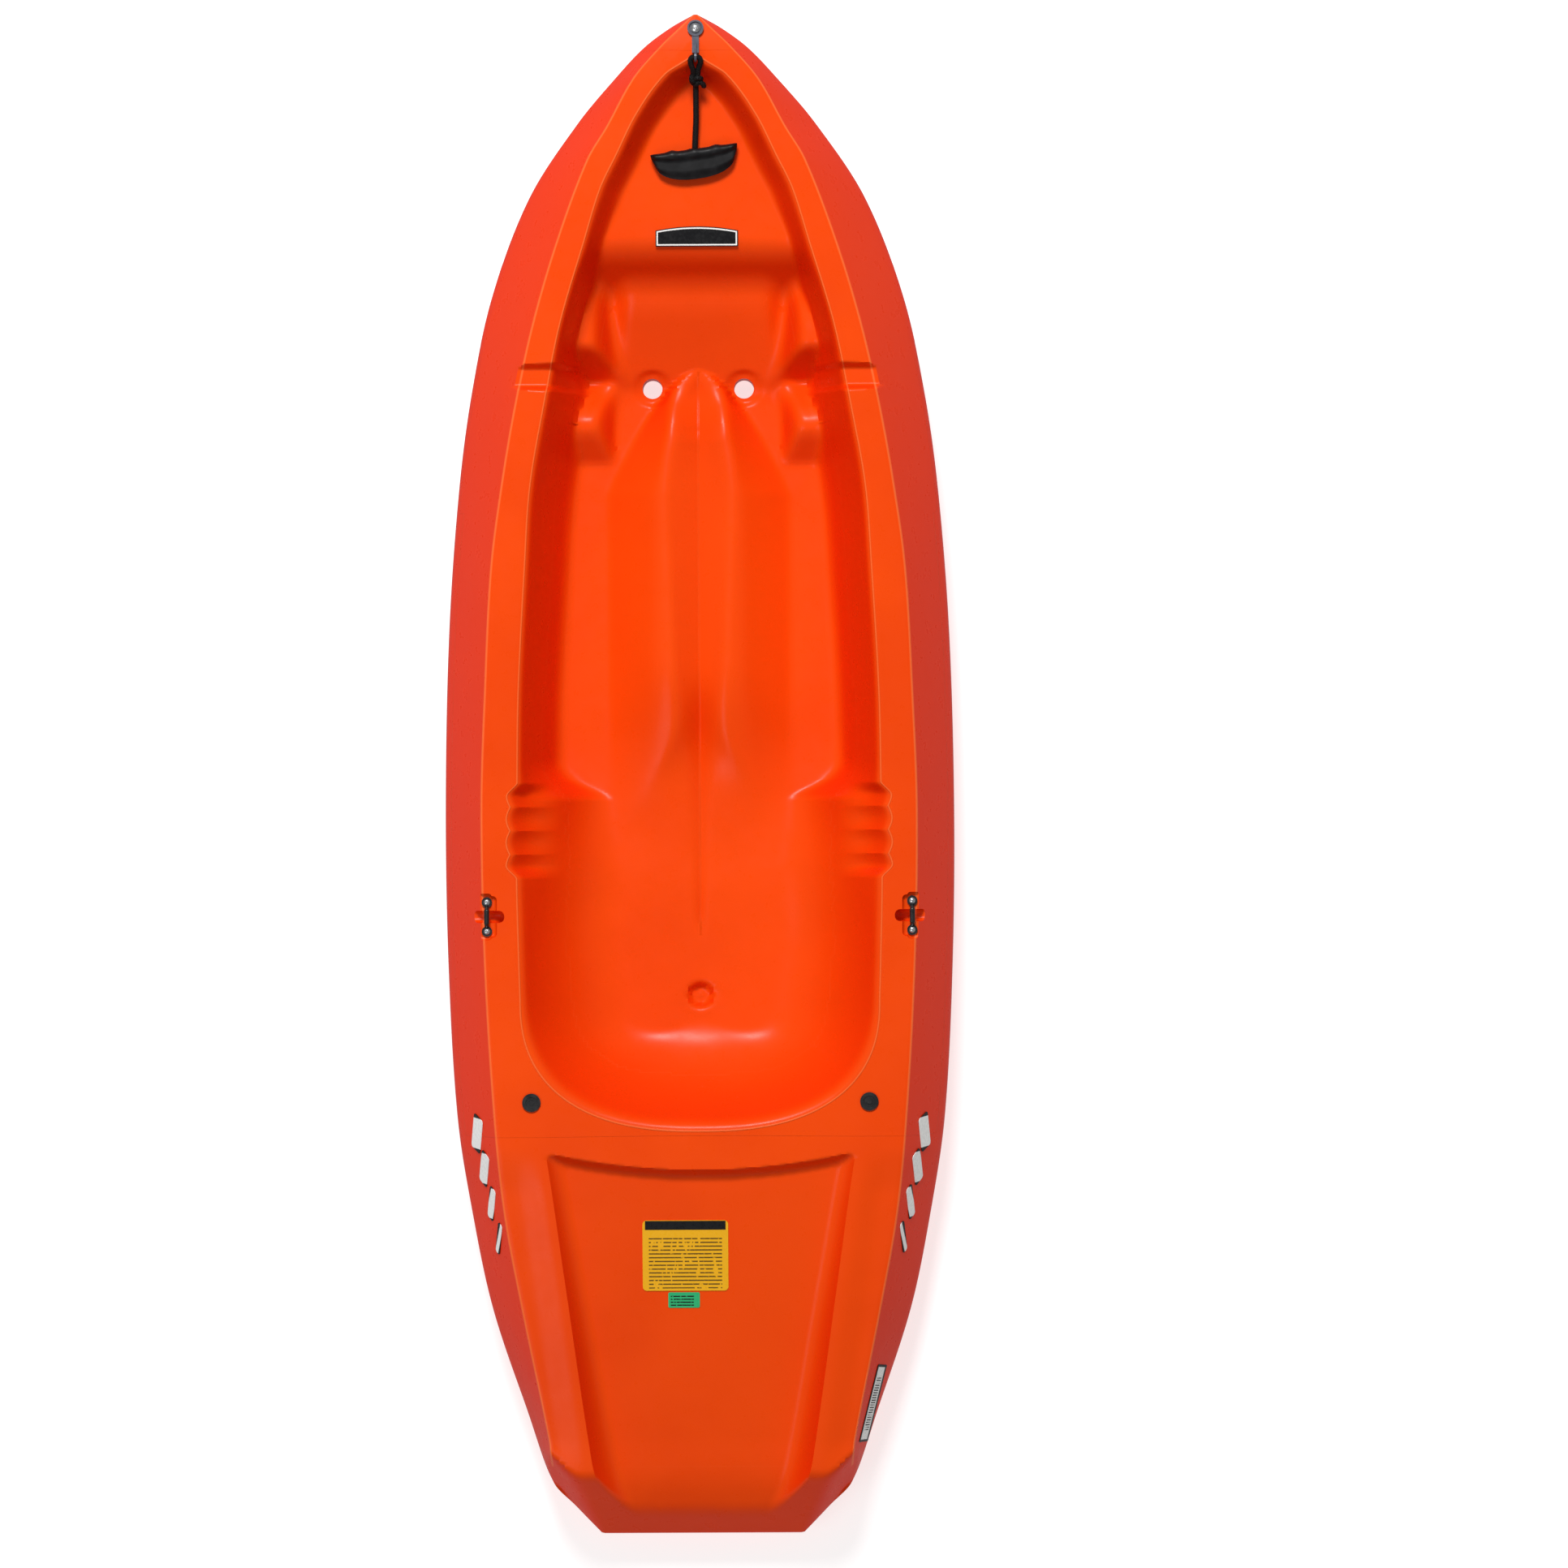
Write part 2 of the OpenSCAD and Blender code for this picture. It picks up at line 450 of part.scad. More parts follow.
module inspection_label() {
  color([0.2, 0.6, 0.3]) lay(-0.01, -626, 0, 0.2) translate([-21, 0, 0]) card(38, 19, 2, 0.6);
}
module serial_label() {
  color([0.92, 0.92, 0.9]) lay(188, -754, 14, 0.9, 4) card(10, 100, 1, 0.6);
}
// a printed streak in four steps along the flank
module side_graphic() {
  color(black) for (q = [0:3]) lay(mix(269, 243, q / 3), -425 - 42 * q, 0, 0.3, 10)
    rotate([0, 0, 12]) card(26 - 5 * q, 44, 4, 0.7);
}

kayak_hull();  // hull
place_eye(-1) pad_eye();  // pad_eye_port
place_eye(1) pad_eye();  // pad_eye_starboard
place_eye(-1) eye_screws();  // pad_eye_screws_port
place_eye(1) eye_screws();  // pad_eye_screws_starboard
tow_tab();
tow_tab_screw();
tow_knot();
tow_rope();
grip();
translate([-plug_x, plug_y, plug_z]) deck_plug();  // deck_plug_port
translate([plug_x, plug_y, plug_z]) deck_plug();  // deck_plug_starboard
bow_badge();
caution_label();
inspection_label();
serial_label();
mirror([1, 0, 0]) side_graphic();  // side_graphic_port
side_graphic();  // side_graphic_starboard
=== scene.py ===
# %% [markdown]
# # A small sit-on-top kayak, piece by piece
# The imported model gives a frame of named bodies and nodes, all in metres with the keel on the floor, the bow
# along +Y and starboard along +X. Everything made here is placed from that frame.

# %% Load the frame
import bpy
import math
import numpy as np
from mathutils import Matrix, Vector


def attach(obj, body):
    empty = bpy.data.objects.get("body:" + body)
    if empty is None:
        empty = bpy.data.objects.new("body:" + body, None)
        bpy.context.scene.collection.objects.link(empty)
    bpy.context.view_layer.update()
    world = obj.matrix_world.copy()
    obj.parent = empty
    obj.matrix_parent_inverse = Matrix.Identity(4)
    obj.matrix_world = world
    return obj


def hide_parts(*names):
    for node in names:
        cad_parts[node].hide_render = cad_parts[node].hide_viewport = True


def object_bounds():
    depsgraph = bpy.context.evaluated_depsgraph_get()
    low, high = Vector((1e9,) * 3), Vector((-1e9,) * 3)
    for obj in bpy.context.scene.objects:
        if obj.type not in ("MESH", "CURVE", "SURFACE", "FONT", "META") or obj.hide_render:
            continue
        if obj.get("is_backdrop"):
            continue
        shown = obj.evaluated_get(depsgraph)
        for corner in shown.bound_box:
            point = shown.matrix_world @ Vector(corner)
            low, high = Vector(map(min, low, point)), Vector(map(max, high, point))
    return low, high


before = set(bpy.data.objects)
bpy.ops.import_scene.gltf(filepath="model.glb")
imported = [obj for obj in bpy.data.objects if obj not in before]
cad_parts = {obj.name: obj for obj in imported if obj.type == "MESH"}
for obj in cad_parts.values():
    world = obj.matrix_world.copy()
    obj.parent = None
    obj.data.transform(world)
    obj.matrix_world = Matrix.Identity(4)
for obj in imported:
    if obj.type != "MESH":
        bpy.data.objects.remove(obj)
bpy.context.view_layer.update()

# %% [markdown]
# ## Camera
# The kayak is looked at from straight above. A long lens from ten metres up keeps the sides from leaning
# outwards, and the hull stands left of the middle, with free floor on its right.

# %% The camera above the deck
FIELD = 1.884
LENS_MM = 200
camera_data = bpy.data.cameras.new("overhead_camera")
camera_data.lens = LENS_MM
camera_data.clip_end = 60
overhead = bpy.data.objects.new("overhead_camera", camera_data)
bpy.context.scene.collection.objects.link(overhead)
height = 0.16 + FIELD * LENS_MM / camera_data.sensor_width
overhead.location = (0.1019, -0.0059, height)
overhead.rotation_euler = (0, 0, math.radians(-0.25))
bpy.context.scene.camera = overhead
print("camera height", round(height, 2), "m")

# %% [markdown]
# ## Helpers for pieces
# Operators act on whatever is selected, so each step starts with nothing selected. A finished piece keeps its
# place in its mesh, with its object at the origin, as the frame's own nodes do.

# %% Selecting, applying and finishing
def deselect():
    for o in bpy.context.selected_objects:
        o.select_set(False)


def only(piece):
    deselect()
    piece.select_set(True)
    bpy.context.view_layer.objects.active = piece
    return piece


def new_piece(add, name, **size):
    """One primitive, added at its size and place, as a named piece."""
    deselect()
    add(**size)
    piece = bpy.context.active_object
    piece.name = name
    piece.data.name = name
    bpy.ops.object.transform_apply(location=True, rotation=True, scale=True)
    return piece


def apply_modifiers(piece):
    only(piece)
    for m in list(piece.modifiers):
        bpy.ops.object.modifier_apply(modifier=m.name)


def edit_all(piece):
    """Goes into edit mode with the whole piece selected."""
    only(piece)
    bpy.ops.object.mode_set(mode="EDIT")
    bpy.ops.mesh.select_all(action="SELECT")


def leave_edit():
    bpy.ops.object.mode_set(mode="OBJECT")


def cut_away(piece, cutters):
    """Takes the cutters out of a closed piece, one boolean modifier each, and removes them."""
    for c in cutters:
        m = piece.modifiers.new("cut", "BOOLEAN")
        m.operation = "DIFFERENCE"
        m.solver = "MANIFOLD"
        m.object = c
    apply_modifiers(piece)
    for c in cutters:
        bpy.data.objects.remove(c, do_unlink=True)


def finish_piece(piece, body, material, replaces, angle=35):
    only(piece)
    bpy.ops.object.transform_apply(location=True, rotation=True, scale=True)
    bpy.ops.object.shade_smooth_by_angle(angle=math.radians(angle))
    piece.data.materials.clear()
    piece.data.materials.append(material)
    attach(piece, body)
    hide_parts(*replaces)
    print(piece.name, len(piece.data.polygons), "faces")


# %% [markdown]
# ## Lines of the hull
# A blow-moulded hull is one smooth skin, drawn by its designer as a few long lines: the widest line or chine,
# the deck's rail, the rim of the cockpit and the keel. Each is a smooth line through a few stations, in
# millimetres. The surface between them follows from these, so this shape is a surface over a grid and not a
# stack of boxes.

# %% Smooth lines and soft corners
def clamp(v, a=0.0, b=1.0):
    return np.clip(v, a, b)


def ease(t):
    u = np.clip(t, 0, 1)
    return u * u * (3 - 2 * u)


def mix(a, b, t):
    return a + (b - a) * t


def smax(a, b, r):
    """The higher of two surfaces, with a fillet of about r where they meet."""
    return np.maximum(a, b) + np.maximum(r - np.abs(a - b), 0) ** 2 / (4 * r)


def smin(a, b, r):
    return -smax(-a, -b, r)


def line(*stations):
    """A smooth line through (station, value) pairs, with slopes taken from the neighbours."""
    p = np.array(stations, float)
    n = len(p)
    before = p[np.maximum(np.arange(n) - 1, 0)]
    after = p[np.minimum(np.arange(n) + 1, n - 1)]
    slope = (after[:, 1] - before[:, 1]) / (after[:, 0] - before[:, 0])

    def value(y):
        y = np.asarray(y, float)
        k = np.clip(np.searchsorted(p[:, 0], y, side="right") - 1, 0, n - 2)
        h = p[k + 1, 0] - p[k, 0]
        t = np.clip((y - p[k, 0]) / h, 0, 1)
        s = 1 - t
        return (p[k, 1] * (1 + 2 * t) * s * s + h * slope[k] * t * s * s
                + p[k + 1, 1] * t * t * (3 - 2 * t) + h * slope[k + 1] * t * t * (t - 1))

    return value


# %% Half widths and heights along the hull
RIM_AFT, RIM_END_W = -263, 215.5  # where the rim's sides end and its round end begins, and half its width
RIM_END_LONG, RIM_FULLNESS = 158.5, 2.45  # length of the round end, and how square its corners are
WELL_AFT, WELL_FORE = -423, 869
chine_w = line((-914.5, 123), (-909, 128), (-881, 154.5), (-853, 181), (-760, 215), (-640, 255),
               (-526, 279), (-409, 297), (-234, 307), (-40, 310), (175, 305), (351, 292), (468, 276),
               (585, 250), (702, 204), (790, 144), (842, 98), (878, 62), (901, 29), (914.5, 3))
rail_w = line((-914.5, 117), (-909, 122), (-881, 148), (-853, 175), (-793, 184), (-640, 214), (-530, 234),
              (-429, 245), (-234, 257), (-39, 261), (107, 256), (253, 248), (351, 235), (448, 218),
              (546, 196), (643, 167), (741, 130), (781, 106), (838, 74), (876, 41), (898, 18), (914.5, 1))
rim_w = line((RIM_AFT, RIM_END_W), (-210, 217), (-120, 219), (0, 218), (107, 216), (253, 208), (351, 201),
             (448, 184), (546, 164), (643, 135), (707, 115), (746, 96), (796, 71), (842, 37), (868, 1),
             (915, 0))
aft_w = line((-914.5, 104), (-889, 110), (-853, 124), (-819, 133), (-600, 164), (-447, 186), (-370, 203),
             (RIM_AFT, RIM_END_W))
rail_z = line((-914.5, 120), (-853, 146), (-793, 154), (-640, 172), (-530, 183), (-430, 189), (-234, 188),
              (0, 188), (253, 193), (448, 201), (643, 211), (781, 219), (868, 225), (914.5, 226))
chine_z = line((-914.5, 50), (-853, 62), (-760, 72), (-600, 78), (-300, 80), (100, 80), (448, 88),
               (643, 108), (781, 141), (838, 165), (880, 186), (914.5, 204))
keel_z = line((-914.5, 32), (-850, 18), (-760, 8), (-600, 1), (-400, 0), (0, 0), (330, 0), (500, 6),
              (643, 22), (760, 50), (838, 86), (880, 120), (905, 156), (914.5, 180))
print("beam at the seat", 2 * float(chine_w(-40)), "mm")

# %% [markdown]
# ## Cockpit
# The cockpit is a pit with steep, rounded walls. Its rim is a line along the sides and a flattened round at
# the seat's back. The depth at a point follows from its distance inside the rim, which keeps the wall's
# slope even all the way round. Four finger hollows sit in the rim on each side of the seat.

# %% The rim and the walls below it
def scallop(a, y):
    """How far the four finger hollows push the rim outwards; they fade towards the seat."""
    here = (y < -4) & (y > -118)
    wave = 4.5 * np.abs(np.sin(np.pi * (y + 4) / 28.5))
    wide = 8 * ease((-4 - y) / 16) * ease((y + 118) / 16)
    return np.where(here, (wide + wave) * ease((a - 165) / 48), 0)


def rim_lean(y):
    return (rim_w(y + 2) - rim_w(y - 2)) / 4


def inside(a, y):
    """Distance inside the cockpit's rim, negative outside it."""
    side = (rim_w(y) + scallop(a, y) - a) / np.sqrt(1 + rim_lean(y) ** 2)
    n = RIM_FULLNESS
    u = np.maximum(a, 0.5) / RIM_END_W
    v = np.maximum(RIM_AFT - y, 0) / RIM_END_LONG
    q = np.maximum((u ** n + v ** n) ** (1 / n), 0.05)
    g = q ** (1 - n) * np.hypot(u ** (n - 1) / RIM_END_W, v ** (n - 1) / RIM_END_LONG)
    return np.where(y > RIM_AFT, side, (1 - q) / np.maximum(g, 1e-6))


def wall_drop(a, y):
    d = inside(a, y)
    bow = 3.3 + 1.6 * ease((y - 470) / 60) * ease((640 - y) / 40) - 0.8 * ease((y - 640) / 60)
    k = mix(bow, 1.45, ease((24 - y) / 50)) + 0.45 * ease((-90 - y) / 120)
    m = 9 + 7 * ease((-250 - y) / 90)
    return np.where(d <= 0, 0, np.where(d < m, k * d * d / (2 * m), k * (d - m / 2)))


def foot_fillet(y):
    """Radius of the soft corner between the walls and the floor."""
    return mix(mix(18, 36, ease((430 - y) / 60)), 130, ease((20 - y) / 330))


# %% [markdown]
# ## Floor of the cockpit
# Two rounded ridges run between the legs with a fine groove between them. Ahead of them stand a block for
# the heels, a bulkhead and two foot ledges a side. The drain holes sit in shallow dishes, and the seat has
# one small round dimple.

# %% Ridges, steps and dishes
vee_w = line((-200, 120), (-70, 92), (0, 58), (60, 29), (150, 32), (250, 37), (346, 42), (412, 38),
             (450, 27), (485, 7), (500, 4))


def ridge(a, y):
    tall = 42 * ease((y + 120) / 260)
    e = np.maximum(111 * clamp((497 - y) / 151) ** 0.62, 4)
    outer = tall * (e - a) / (0.6 * e)
    depth = 20 * ease((y + 85) / 150) * clamp((497 - y) / 75)
    body = smin(smin(outer, tall + 0 * a, 9), 0.55 * (497 - y), 8)
    groove = depth * smax(1 - a / vee_w(y), 0, 0.12)
    half = mix(5, 15, clamp((y + 190) / 230))
    seam = 4.5 * ease((y + 195) / 40) * ease((130 - y) / 60) * clamp(1 - a / half)
    return smax(body - groove, 0, 3) - seam


def block(a, y):
    w = mix(76, 91, clamp((y - 497) / 98))
    return smin(smin(75 + 0.47 * (y - 497), 117, 16), 117 - 1.6 * (a - w), 26)


def bulkhead(y):
    return smin(165 + 1.4 * (y - 634), 166 + 0.055 * (y - 640), 24)


def ledge(a, y, edge, y0, z0, rise, y1, fall):
    """A rounded step beside the heels, from its rear foot at y0 to where it falls away past y1."""
    along = smin(z0 + rise * (y - y0), z0 - fall * (y - y1), 16)
    return smin(smin(along, z0 + 0 * y, 14), z0 + 1.9 * (a - edge), 18)


SCUPPER_X, SCUPPER_Y, SCUPPER_R = 55.5, 474.0, 12.0


def floor_z(a, y):
    pan = mix(60, 76, ease((60 - y) / 200))
    steps = smax(ledge(a, y, 124, 522, 128, 1.7, 566, 0.5), ledge(a, y, 120, 424, 97, 0.9, 436, 0.8), 12)
    feet = smax(smax(block(a, y), bulkhead(y), 20), steps, 26)
    dish = 4 * ease(1 - (np.hypot(a - SCUPPER_X, y - SCUPPER_Y) - 16) / 8)
    seat_r = np.hypot(a, y + 261)
    dimple = 12 * ease(1 - (seat_r - 9) / 9) - 2.5 * ease(1 - (seat_r - 1) / 4)
    return np.where(y > 380, smax(pan, feet, 6), pan) + ridge(a, y) - dish - dimple


# %% [markdown]
# ## Deck, stern and bottom
# Outside the rim lies the rail, which falls to the chine in a steep flank. The aft deck is sunk for a
# child's feet, the stern is a slanted transom with cut corners, and the paddle rests in a groove across the
# rail. The bottom is flat in the middle with a strake on each side, for it must stand on a beach.

# %% Deck surfaces
def aft_sink(a, y):
    side = aft_w(y) - a
    front = -447 - 21 * (1 - (a / 185) ** 2) - y
    rearward = clamp((-447 - y) / 430)
    t = clamp(smin(side, 1.5 * front, 14) / mix(20, 36, rearward))
    return mix(13, 44, rearward) * (1 - (1 - t) ** 2)


def stern(a, y):
    corner = 56 + 3.3 * (0.726 * (181 - a) + 0.688 * (y + 853))
    return np.maximum(chine_z(y), smin(50 + 1.31 * (y + 914.5), corner, 20))


def strip(a, y):
    return 5 * ease((-440 - y) / 60) * clamp((a - aft_w(y) - 12) / 24) * ease((y + 850) / 60)


def paddle_groove(y):
    return rail_z(y) - 12 * ease(1.9 - np.abs(y - 482.6) / 9.5)


def deck_plane(a, y):
    r, b, R, C = rail_w(y), chine_w(y), rail_z(y), chine_z(y)
    t = (a - r) / np.maximum(b - r, 1)
    forward = ease((y - 100) / 200)
    flat = R - 0.07 * np.maximum(a - r + 30, 0) * forward
    flank = mix(R - 2.1 * forward, C, 0.9 * t + 0.1 * t * np.abs(t))
    return np.where(t > 0.5, flank, smin(flat, flank, 2.2))


def top_z(a, y):
    base = np.minimum(deck_plane(a, y), paddle_groove(y))
    pit = smax(floor_z(a, y), base - wall_drop(a, y), foot_fillet(y))
    well = (inside(a, y) > 0) & (y > WELL_AFT) & (y < WELL_FORE)
    deck = np.where(well, np.minimum(pit, base), base)
    aft = np.where(y < -440, deck - aft_sink(a, y) - strip(a, y), deck)
    return np.where(y < -780, smin(aft, stern(a, y), 9), aft)


def bottom_z(a, y):
    b = chine_w(y)
    t = clamp(a / np.maximum(b, 1))
    v = ease((y - 350) / 450)
    K, C = np.maximum(keel_z(y), 0), chine_z(y)
    form = mix((np.maximum(t - 0.3, 0) / 0.7) ** 3.2, 0.25 * t + 0.75 * t ** 1.25, v)
    strake = 9 * ease(1.6 - np.abs(a - 0.42 * b) / 18) * ease((y + 760) / 60) * ease((560 - y) / 80)
    return K + (C - K) * form + strake


# %% [markdown]
# ## Stations and columns of the grid
# The grid's columns follow the hull's lines, so that the rim, the rail and the chine each fall on an edge of
# the mesh. The stations stand closer where the shape is busy, at the grooves, scallops and steps.

# %% Where the grid's lines run
SPANS = ((-914.5, -840, 1.7), (-840, -780, 3), (-780, -500, 5), (-500, -430, 2.2), (-430, -120, 3.4),
         (-120, 0, 1.9), (0, 380, 5), (380, 430, 2.6), (430, 540, 1.6), (540, 660, 2.6), (660, 830, 4),
         (830, 914.5, 2.1))
stations = [np.linspace(a, b, round((b - a) / step), endpoint=False) for a, b, step in SPANS]
stations = np.concatenate(stations + [[914.5]])
RAIL_U = (0.1, 0.2, 0.32, 0.44, 0.56, 0.68, 0.8, 0.9, 0.965, 1.0)
FLANK_U = (0.015, 0.04, 0.09, 0.2, 0.36, 0.54, 0.72, 0.86, 0.95, 1.0)
FLOOR_STEPS, WALL_STEPS = 29, 15
BOTTOM_U = (1.0, 0.992, 0.97, 0.92, 0.82, 0.7, 0.58, 0.5, 0.42, 0.34, 0.24, 0.0)


def wall_width(y, inner):
    back = mix(30, 66, clamp((y + 430) / 167))
    nose = np.minimum(23 * np.sqrt(1 + rim_lean(y) ** 2), 0.7 * inner)
    legs = mix(66, 43, ease((y + 210) / 125))
    feet = mix(36, 23, ease((y - 430) / 120))
    return np.where(y < RIM_AFT, back, np.where(y > 640, nose, np.where(y > 430, feet, legs)))


def deck_columns(y):
    """Half widths of the deck's grid lines, one row for each station."""
    inner = np.where(y < RIM_AFT, aft_w(y), np.maximum(rim_w(y) + scallop(300, y), 0.35 * rail_w(y)))
    foot = inner - wall_width(y, inner)
    r, b = rail_w(y), chine_w(y)
    cols = [u * foot for u in np.linspace(0, 1, FLOOR_STEPS + 1)]
    cols += [mix(foot, inner, u) for u in np.linspace(0, 1, WALL_STEPS + 1)[1:]]
    cols += [mix(inner, r, u) for u in RAIL_U]
    cols += [mix(r, b, u) for u in FLANK_U]
    return np.stack(cols, axis=1)


deck_half = deck_columns(stations)
print("stations", len(stations), "columns a side", deck_half.shape[1])

# %% [markdown]
# ## Skin of the hull
# Two flat grids are added and their vertices are moved onto the deck's and the bottom's surface. They are
# joined at the chine, the ends are filled, and the edge at the chine is softened as a moulding's is.

# %% The deck and bottom sheets
def sheet_from(name, half, height):
    """A grid primitive whose vertices are moved to the surface, mirrored about the keel line."""
    rows, cols = half.shape
    sheet = new_piece(bpy.ops.mesh.primitive_grid_add, name, size=1,
                      x_subdivisions=2 * (cols - 1), y_subdivisions=rows - 1)
    flat = np.zeros(len(sheet.data.vertices) * 3)
    sheet.data.vertices.foreach_get("co", flat)
    flat = flat.reshape(-1, 3)
    col = np.rint((flat[:, 0] + 0.5) * 2 * (cols - 1)).astype(int) - (cols - 1)
    row = np.rint((flat[:, 1] + 0.5) * (rows - 1)).astype(int)
    a = half[row, np.abs(col)]
    y = stations[row]
    placed = np.stack([np.sign(col) * a, y, height(a, y)], axis=1) / 1000
    sheet.data.vertices.foreach_set("co", placed.astype(np.float32).ravel())
    sheet.data.update()
    return sheet


def underside(a, y):
    """The bottom, with its outermost line on the deck's own edge."""
    return np.where(a > chine_w(y) - 0.01, top_z(a, y), bottom_z(a, y))


deck = sheet_from("hull_moulding", deck_half, top_z)
bottom_half = np.stack([u * chine_w(stations) for u in BOTTOM_U[::-1]], axis=1)
bottom = sheet_from("hull_bottom", bottom_half, underside)
print("deck", len(deck.data.vertices), "bottom", len(bottom.data.vertices), "vertices")

# %% Join the sheets and close the ends
edit_all(bottom)
bpy.ops.mesh.flip_normals()
leave_edit()
only(deck)
bottom.select_set(True)
bpy.ops.object.join()
bpy.ops.object.mode_set(mode="EDIT")
bpy.ops.mesh.select_all(action="SELECT")
bpy.ops.mesh.remove_doubles(threshold=0.00001)
bpy.ops.mesh.fill_holes(sides=0)
bpy.ops.mesh.select_all(action="SELECT")
bpy.ops.mesh.normals_make_consistent(inside=False)
leave_edit()


def points_of(piece):
    """The piece's vertices in millimetres, one row each."""
    flat = np.zeros(len(piece.data.vertices) * 3, np.float32)
    piece.data.vertices.foreach_get("co", flat)
    return flat.reshape(-1, 3).astype(float) * 1000


def pick_points(piece, mask):
    """Edit mode with the masked vertices selected."""
    only(piece)
    bpy.ops.object.mode_set(mode="EDIT")
    bpy.ops.mesh.select_mode(type="VERT")
    bpy.ops.mesh.select_all(action="DESELECT")
    bpy.ops.object.mode_set(mode="OBJECT")
    piece.data.vertices.foreach_set("select", mask)
    bpy.ops.object.mode_set(mode="EDIT")
    print(piece.name, int(mask.sum()), "points picked")


hull_points = points_of(deck)
half_width = np.abs(hull_points[:, 0])
near_chine = np.abs(half_width - chine_w(hull_points[:, 1])) < 3.2
pick_points(deck, near_chine)
bpy.ops.mesh.vertices_smooth(factor=0.5, repeat=4)
leave_edit()

# %% [markdown]
# ## Holes and pockets
# Drain holes, the pockets of the pad eyes and the seats of the deck plugs are cut as a drill or a mould
# insert would leave them. A cutter is a primitive, the boxes with softened edges, taken away by a boolean
# modifier.

# %% Cut the drain holes, pockets and plug seats
def cylinder_cutter(name, x, y, low, high, radius):
    return new_piece(bpy.ops.mesh.primitive_cylinder_add, name, vertices=72, radius=radius / 1000,
                     depth=(high - low) / 1000, location=(x / 1000, y / 1000, (low + high) / 2000))


def box_cutter(name, x, y, low, high, wide, long, round_off):
    box = new_piece(bpy.ops.mesh.primitive_cube_add, name, size=1,
                    location=(x / 1000, y / 1000, (low + high) / 2000),
                    scale=(wide / 1000, long / 1000, (high - low) / 1000))
    soft = box.modifiers.new("soft", "BEVEL")
    soft.width = round_off / 1000
    soft.segments = 4
    apply_modifiers(box)
    return box


EYE_X, EYE_Y, EYE_Z = 255.0, -163.7, 181.5
PLUG_X, PLUG_Y, PLUG_R = 202.5, -386.6, 12
plug_top = float(top_z(np.array(PLUG_X), np.array(PLUG_Y)))
cutters = []
for side in (-1, 1):
    cutters.append(cylinder_cutter("drain", side * SCUPPER_X, SCUPPER_Y, -20, 140, SCUPPER_R))
    for name, out, low, wide, long, round_off in (("pocket", 14, 0, 52, 50, 5), ("step", 19, 0, 50, 56, 4),
                                                  ("slot", 16, -16, 74, 14.6, 6.5)):
        cutters.append(box_cutter(name, side * (EYE_X + out), EYE_Y, EYE_Z + low, EYE_Z + 40, wide, long,
                                  round_off))
    cutters.append(cylinder_cutter("plug_seat", side * PLUG_X, PLUG_Y, plug_top - 0.3, plug_top + 30, PLUG_R))
before = len(deck.data.polygons)
cut_away(deck, cutters)
print("hull faces", before, "->", len(deck.data.polygons))

# %% [markdown]
# ## Moulded polyethylene
# The plastic has its colour all the way through. Its skin is satin, with the fine grain of the mould, a slow
# waviness from cooling, small random shifts of tone and faint scuffs. Steep faces are given a darker, redder
# colour than level ones: this is painted shade, standing in for light bounced between the orange walls, and
# not a property of the plastic. Distances kept at every vertex let the material draw thin lines along the
# cockpit's rim, the rail's edge and the seam between the ridges. The rim's and the rail's lines are painted
# lighter, as a painted highlight, and the rim's and the seam's lines are also raised by bump.

# %% Small node helpers
def material_named(name, base, rough, metal=0.0, specular=0.5):
    m = bpy.data.materials.new(name)
    m.use_nodes = True
    shader = m.node_tree.nodes["Principled BSDF"]
    shader.inputs["Base Color"].default_value = (*base, 1)
    shader.inputs["Roughness"].default_value = rough
    shader.inputs["Metallic"].default_value = metal
    shader.inputs["Specular IOR Level"].default_value = specular
    return m, m.node_tree, shader


def node(tree, kind, **sockets):
    n = tree.nodes.new(kind)
    for key, value in sockets.items():
        n.inputs[key.replace("_", " ")].default_value = value
    return n


def object_mapping(tree, scale=(1, 1, 1), turn=(0, 0, 0), move=(0, 0, 0)):
    where = tree.nodes.new("ShaderNodeTexCoord")
    placed = node(tree, "ShaderNodeMapping", Scale=scale, Rotation=turn, Location=move)
    tree.links.new(where.outputs["Object"], placed.inputs["Vector"])
    return placed.outputs["Vector"]


def noise(tree, vector, scale, detail=3.0, rough=0.5, distort=0.0):
    n = node(tree, "ShaderNodeTexNoise", Scale=scale, Detail=detail, Roughness=rough, Distortion=distort)
    tree.links.new(vector, n.inputs["Vector"])
    return n.outputs["Fac"]


def remap(tree, value, low, high, to_low, to_high):
    r = tree.nodes.new("ShaderNodeMapRange")
    r.interpolation_type = "SMOOTHSTEP"
    tree.links.new(value, r.inputs["Value"])
    for key, v in (("From Min", low), ("From Max", high), ("To Min", to_low), ("To Max", to_high)):
        r.inputs[key].default_value = v
    return r.outputs["Result"]


def tint(tree, factor, first, second):
    m = tree.nodes.new("ShaderNodeMix")
    m.data_type = "RGBA"
    tree.links.new(factor, m.inputs["Factor"])
    for socket, value in ((m.inputs[6], first), (m.inputs[7], second)):
        if isinstance(value, tuple):
            socket.default_value = (*value, 1)
        else:
            tree.links.new(value, socket)
    return m.outputs[2]


def bump(tree, height, depth, strength=1.0, under=None):
    b = node(tree, "ShaderNodeBump", Strength=strength, Distance=depth)
    tree.links.new(height, b.inputs["Height"])
    if under is not None:
        tree.links.new(under, b.inputs["Normal"])
    return b.outputs["Normal"]


